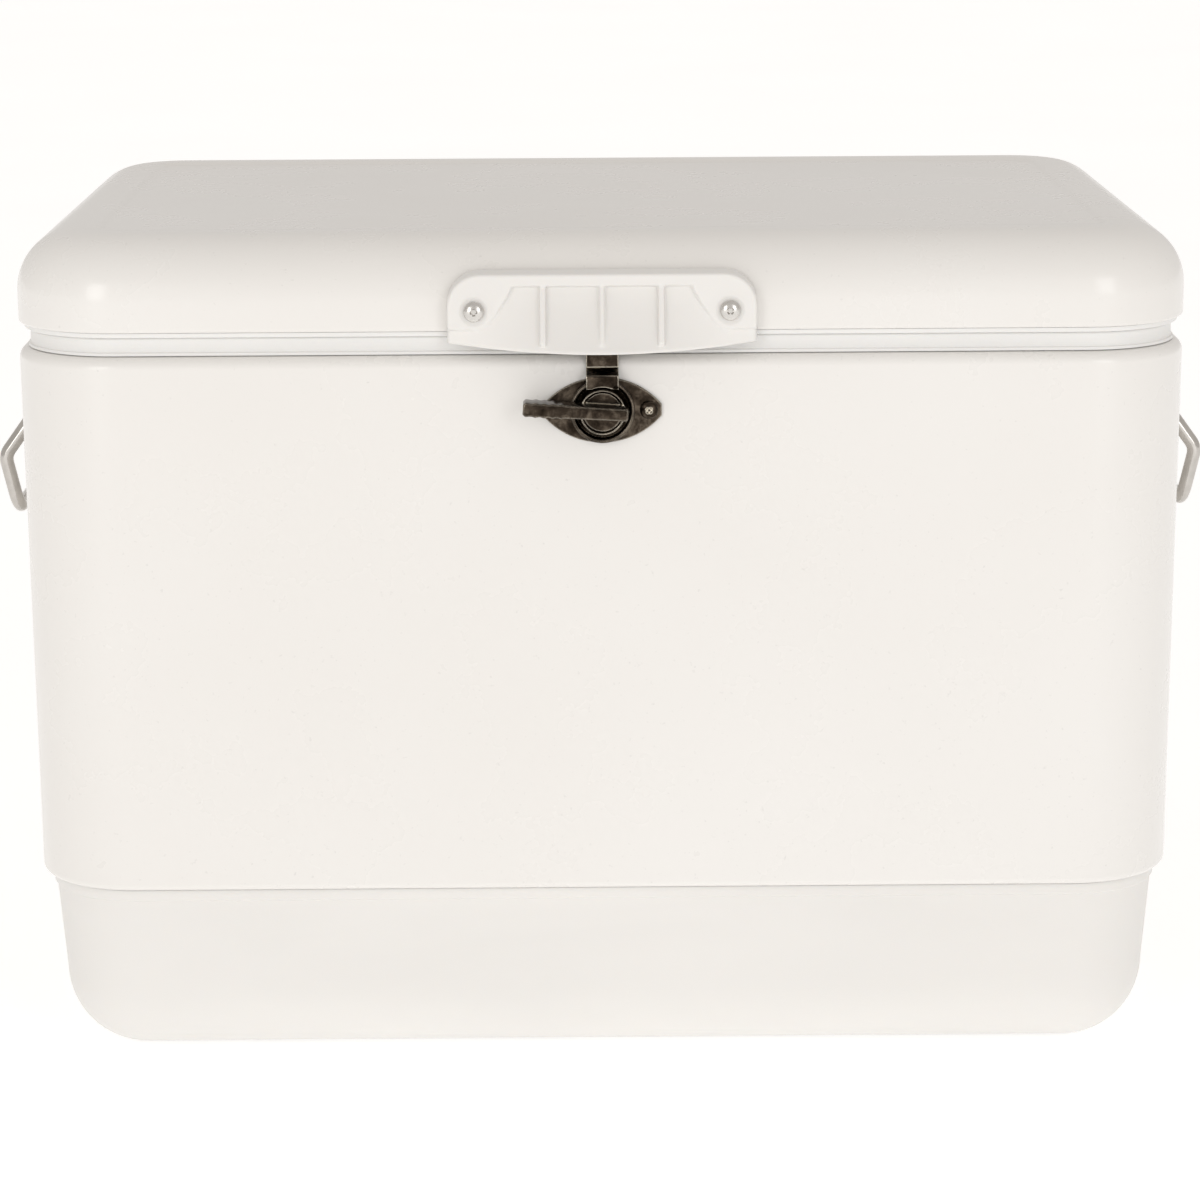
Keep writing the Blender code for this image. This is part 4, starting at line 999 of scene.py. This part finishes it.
def make_hinge_leaf(side, sign, part):
    """A leaf with rounded outer corners and every second knuckle."""
    node = f"{side}_hinge_{part}_leaf"
    low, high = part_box(node)
    hinge = JOINTS["lid_hinge"]["pos_m"]
    centre_x = (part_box(f"{side}_hinge_pin")[0][0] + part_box(f"{side}_hinge_pin")[1][0]) / 2
    back, sheet, knuckle, count = REAR + 0.4 * MM, 1.6 * MM, 4 * MM, 5
    up = 1 if part == "lid" else -1
    near_z = hinge[2] + up * (knuckle + 0.8 * MM)
    far_z = high[2] if part == "lid" else low[2]
    half = (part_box(f"{side}_hinge_pin")[1][0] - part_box(f"{side}_hinge_pin")[0][0]) / 2 - 1 * MM
    corner, steps = 6 * MM, 8
    outline = [(-half, near_z), (half, near_z)]
    for sx, start in ((1, 0), (-1, 90)):
        for step in range(steps + 1):
            angle = math.radians(start + 90 * step / steps)
            outline.append(
                (
                    sx * (half - corner) + corner * math.cos(angle),
                    far_z - up * corner + up * corner * math.sin(angle),
                )
            )
    place, upright = (centre_x, back + sheet / 2, 0), (math.pi / 2, 0, 0)
    leaf = prism(node + "_plate", outline, -0.5 * sheet, 0.5 * sheet, place, upright)
    bevel(leaf, 0.3 * MM, 3, 50)
    apply_modifiers(leaf)
    pitch = 2 * half / count
    for i in range(1 if part == "lid" else 0, count, 2):
        start, end = -half + i * pitch + 0.25 * MM, -half + (i + 1) * pitch - 0.25 * MM
        tab = prism(
            "tab",
            [(start, hinge[2]), (end, hinge[2]), (end, near_z + up * 1 * MM), (start, near_z + up * 1 * MM)],
            -0.5 * sheet,
            0.5 * sheet,
            (centre_x, back + sheet / 2, 0),
            (math.pi / 2, 0, 0),
        )
        cut(leaf, tab, "UNION")
        roll = turned(
            "roll",
            [
                (knuckle - 0.25 * MM, start + 0.01 * MM),
                (knuckle, start + 0.26 * MM),
                (knuckle, end - 0.26 * MM),
                (knuckle - 0.25 * MM, end - 0.01 * MM),
            ],
            (centre_x, hinge[1], hinge[2]),
            FACE_TURN["right"],
            48,
        )
        cut(leaf, roll, "UNION")
    bore = turned(
        "bore",
        [(2 * MM, -half - 5 * MM), (2 * MM, half + 5 * MM)],
        (centre_x, hinge[1], hinge[2]),
        FACE_TURN["right"],
        32,
    )
    cut(leaf, bore)
    return stand_in(smooth(leaf, 35), node)


def make_hinge_pin(side):
    low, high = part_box(f"{side}_hinge_pin")
    centre = (Vector(low) + Vector(high)) / 2
    half = (high[0] - low[0]) / 2
    profile = [(0.8 * MM, -half), (1.3 * MM, -half + 0.15 * MM), (1.6 * MM, -half + 0.6 * MM)]
    profile += [(radius, -height) for radius, height in profile[::-1]]
    pin = turned(f"{side}_pin", profile, centre, FACE_TURN["right"], 40)
    return stand_in(pin, f"{side}_hinge_pin")


# ---------------------------------------------------------------- drain


def make_drain():
    """Spout, gasket, hexagon-edged nut and ribbed cap."""
    nodes = {}
    for node in ("drain_spout", "drain_gasket", "drain_nut", "drain_cap"):
        nodes[node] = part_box(node)
    line = Vector((0, 0, (nodes["drain_spout"][0][2] + nodes["drain_spout"][1][2]) / 2))
    turn = FACE_TURN["right"]
    inner, outer = 6.5 * MM, 8.5 * MM

    def ring(name, bore, radius, low, high, edge, steps=72):
        profile = [
            (bore, low),
            (radius - edge, low),
            (radius, low + edge),
            (radius, high - edge),
            (radius - edge, high),
            (bore, high),
            (bore, low),
        ]
        return turned(name, profile, line, turn, steps)

    low, high = nodes["drain_spout"]
    stand_in(ring("drain_pipe", inner, outer, low[0], high[0], 0.4 * MM), "drain_spout")
    low, high = nodes["drain_gasket"]
    radius = (high[2] - low[2]) / 2
    stand_in(ring("drain_seal", outer + 0.3 * MM, radius, low[0], high[0], 0.3 * MM), "drain_gasket")
    low, high = nodes["drain_nut"]
    radius = (high[2] - low[2]) / 2
    nut = ring("drain_ring_nut", outer + 0.3 * MM, radius, low[0], high[0], 0.1 * MM, 12)
    bevel(nut, 0.5 * MM, 3, 20)
    apply_modifiers(nut)
    stand_in(smooth(nut, 25), "drain_nut")
    low, high = nodes["drain_cap"]
    radius = (high[2] - low[2]) / 2
    spout_end = nodes["drain_spout"][1][0]
    lobes, steps = 18, 144
    mesh = bmesh.new()
    plug_end = spout_end - 7 * MM
    cap_low = nodes["drain_nut"][1][0] + 0.39 * MM
    profile = [
        (0.5 * MM, plug_end, 0),
        (inner - 0.9 * MM, plug_end, 0),
        (inner - 0.4 * MM, plug_end + 0.5 * MM, 0),
        (inner - 0.4 * MM, spout_end + 0.5 * MM, 0),
        (outer + 0.4 * MM, spout_end + 0.5 * MM, 0),
        (outer + 0.4 * MM, cap_low, 0),
        (radius - 0.6 * MM, cap_low, 1),
        (radius, cap_low + 0.5 * MM, 1),
        (radius, high[0] - 1.1 * MM, 1),
        (radius - 0.35 * MM, high[0] - 0.35 * MM, 0.5),
        (radius - 1.1 * MM, high[0], 0),
        (4 * MM, high[0], 0),
        (3.2 * MM, high[0] - 0.5 * MM, 0),
        (0.5 * MM, high[0] - 0.5 * MM, 0),
    ]
    loops = []
    for r, x, ribbed in profile:
        loop = []
        for i in range(steps):
            angle = 2 * math.pi * i / steps
            rr = r - ribbed * 0.35 * MM * (1 - math.cos(lobes * angle)) / 2
            loop.append(mesh.verts.new((rr * math.cos(angle), rr * math.sin(angle), x)))
        loops.append(loop)
    for lower, upper in zip(loops, loops[1:]):
        for i in range(steps):
            j = (i + 1) % steps
            mesh.faces.new((lower[i], lower[j], upper[j], upper[i]))
    mesh.faces.new(loops[0][::-1])
    mesh.faces.new(loops[-1])
    bmesh.ops.recalc_face_normals(mesh, faces=mesh.faces)
    cap = from_bmesh("drain_plug", mesh)
    cap.location = line
    cap.rotation_euler = turn
    stand_in(smooth(cap, 40), "drain_cap")


for side, sign in (("left", -1), ("right", 1)):
    make_bail(side, sign)
    make_bracket(side, sign)
    make_hinge_pin(side)
    for part in ("lid", "body"):
        make_hinge_leaf(side, sign, part)
make_drain()

# The nodes that keep their CAD shape: the foam and the retainer are out of sight.
for node in ("body_foam", "lid_foam", "latch_retainer"):
    kept = frame["nodes"][node]
    kept.data.materials.clear()
    kept.data.materials.append(MATERIALS[SLOT_OF[node]])


# ---------------------------------------------------------------- studio


def make_floor():
    """A white sweep that glows a little, as a lit product table does."""
    mesh = bmesh.new()
    bmesh.ops.create_grid(mesh, x_segments=1, y_segments=1, size=20)
    floor = from_bmesh("floor", mesh)
    floor.location.z = -0.5 * MM
    s = Shader("pale_floor", (0.90, 0.90, 0.90), 0.7)
    s.colour(s.ramp(s.noise(2.0, 3.0), [(0.3, 0.90), (0.7, 0.92)]))
    s.roughness(s.noise(5.0, 3.0), 0.65, 0.8)
    s.set(Specular_IOR_Level=0.2, Emission_Color=(1, 1, 1, 1), Emission_Strength=0.38)
    floor.data.materials.append(s.material)


def make_area(name, place, aim, width, height, power, colour=(1, 1, 1)):
    light = bpy.data.lights.new(name, "AREA")
    light.shape = "RECTANGLE"
    light.size = width
    light.size_y = height
    light.energy = power
    light.color = colour
    obj = add_object(name, light, place)
    obj.rotation_euler = (Vector(aim) - Vector(place)).to_track_quat("-Z", "Y").to_euler()
    return obj


def make_studio():
    """Even warm surroundings, and two large soft lights in front, left and right of the camera."""
    world = bpy.data.worlds.new("studio")
    world.use_nodes = True
    background = world.node_tree.nodes["Background"]
    background.inputs["Color"].default_value = (1.0, 0.965, 0.93, 1)
    background.inputs["Strength"].default_value = 0.69
    bpy.context.scene.world = world
    bpy.context.scene.view_settings.view_transform = "Standard"
    aim = (0, 0, 0.22)
    make_area("key", (-1.5, -2.9, 1.0), aim, 1.0, 1.5, 13, (1.0, 0.99, 0.975))
    make_area("fill", (1.5, -2.9, 1.0), aim, 1.0, 1.5, 12, (0.985, 0.99, 1.0))


def make_camera():
    """The photograph's viewpoint: two metres in front, looking 13 degrees down."""
    camera = bpy.data.cameras.new("camera")
    camera.sensor_width = 36
    camera.sensor_fit = "HORIZONTAL"
    camera.lens = 108.9
    camera.clip_end = 100
    pitch, yaw, roll = 0.2276, -0.0060, -0.0058
    level = math.cos(pitch)
    forward = Vector((-math.sin(yaw) * level, math.cos(yaw) * level, -math.sin(pitch)))
    right = Vector((math.cos(yaw), math.sin(yaw), 0))
    up = right.cross(forward)
    turned_right = right * math.cos(roll) + up * math.sin(roll)
    turned_up = up * math.cos(roll) - right * math.sin(roll)
    obj = add_object("camera", camera)
    basis = Matrix((turned_right, turned_up, -forward)).transposed().to_4x4()
    obj.matrix_world = Matrix.Translation((-0.0126, -2.0041, 0.6705)) @ basis
    bpy.context.scene.camera = obj


make_floor()
make_studio()
make_camera()
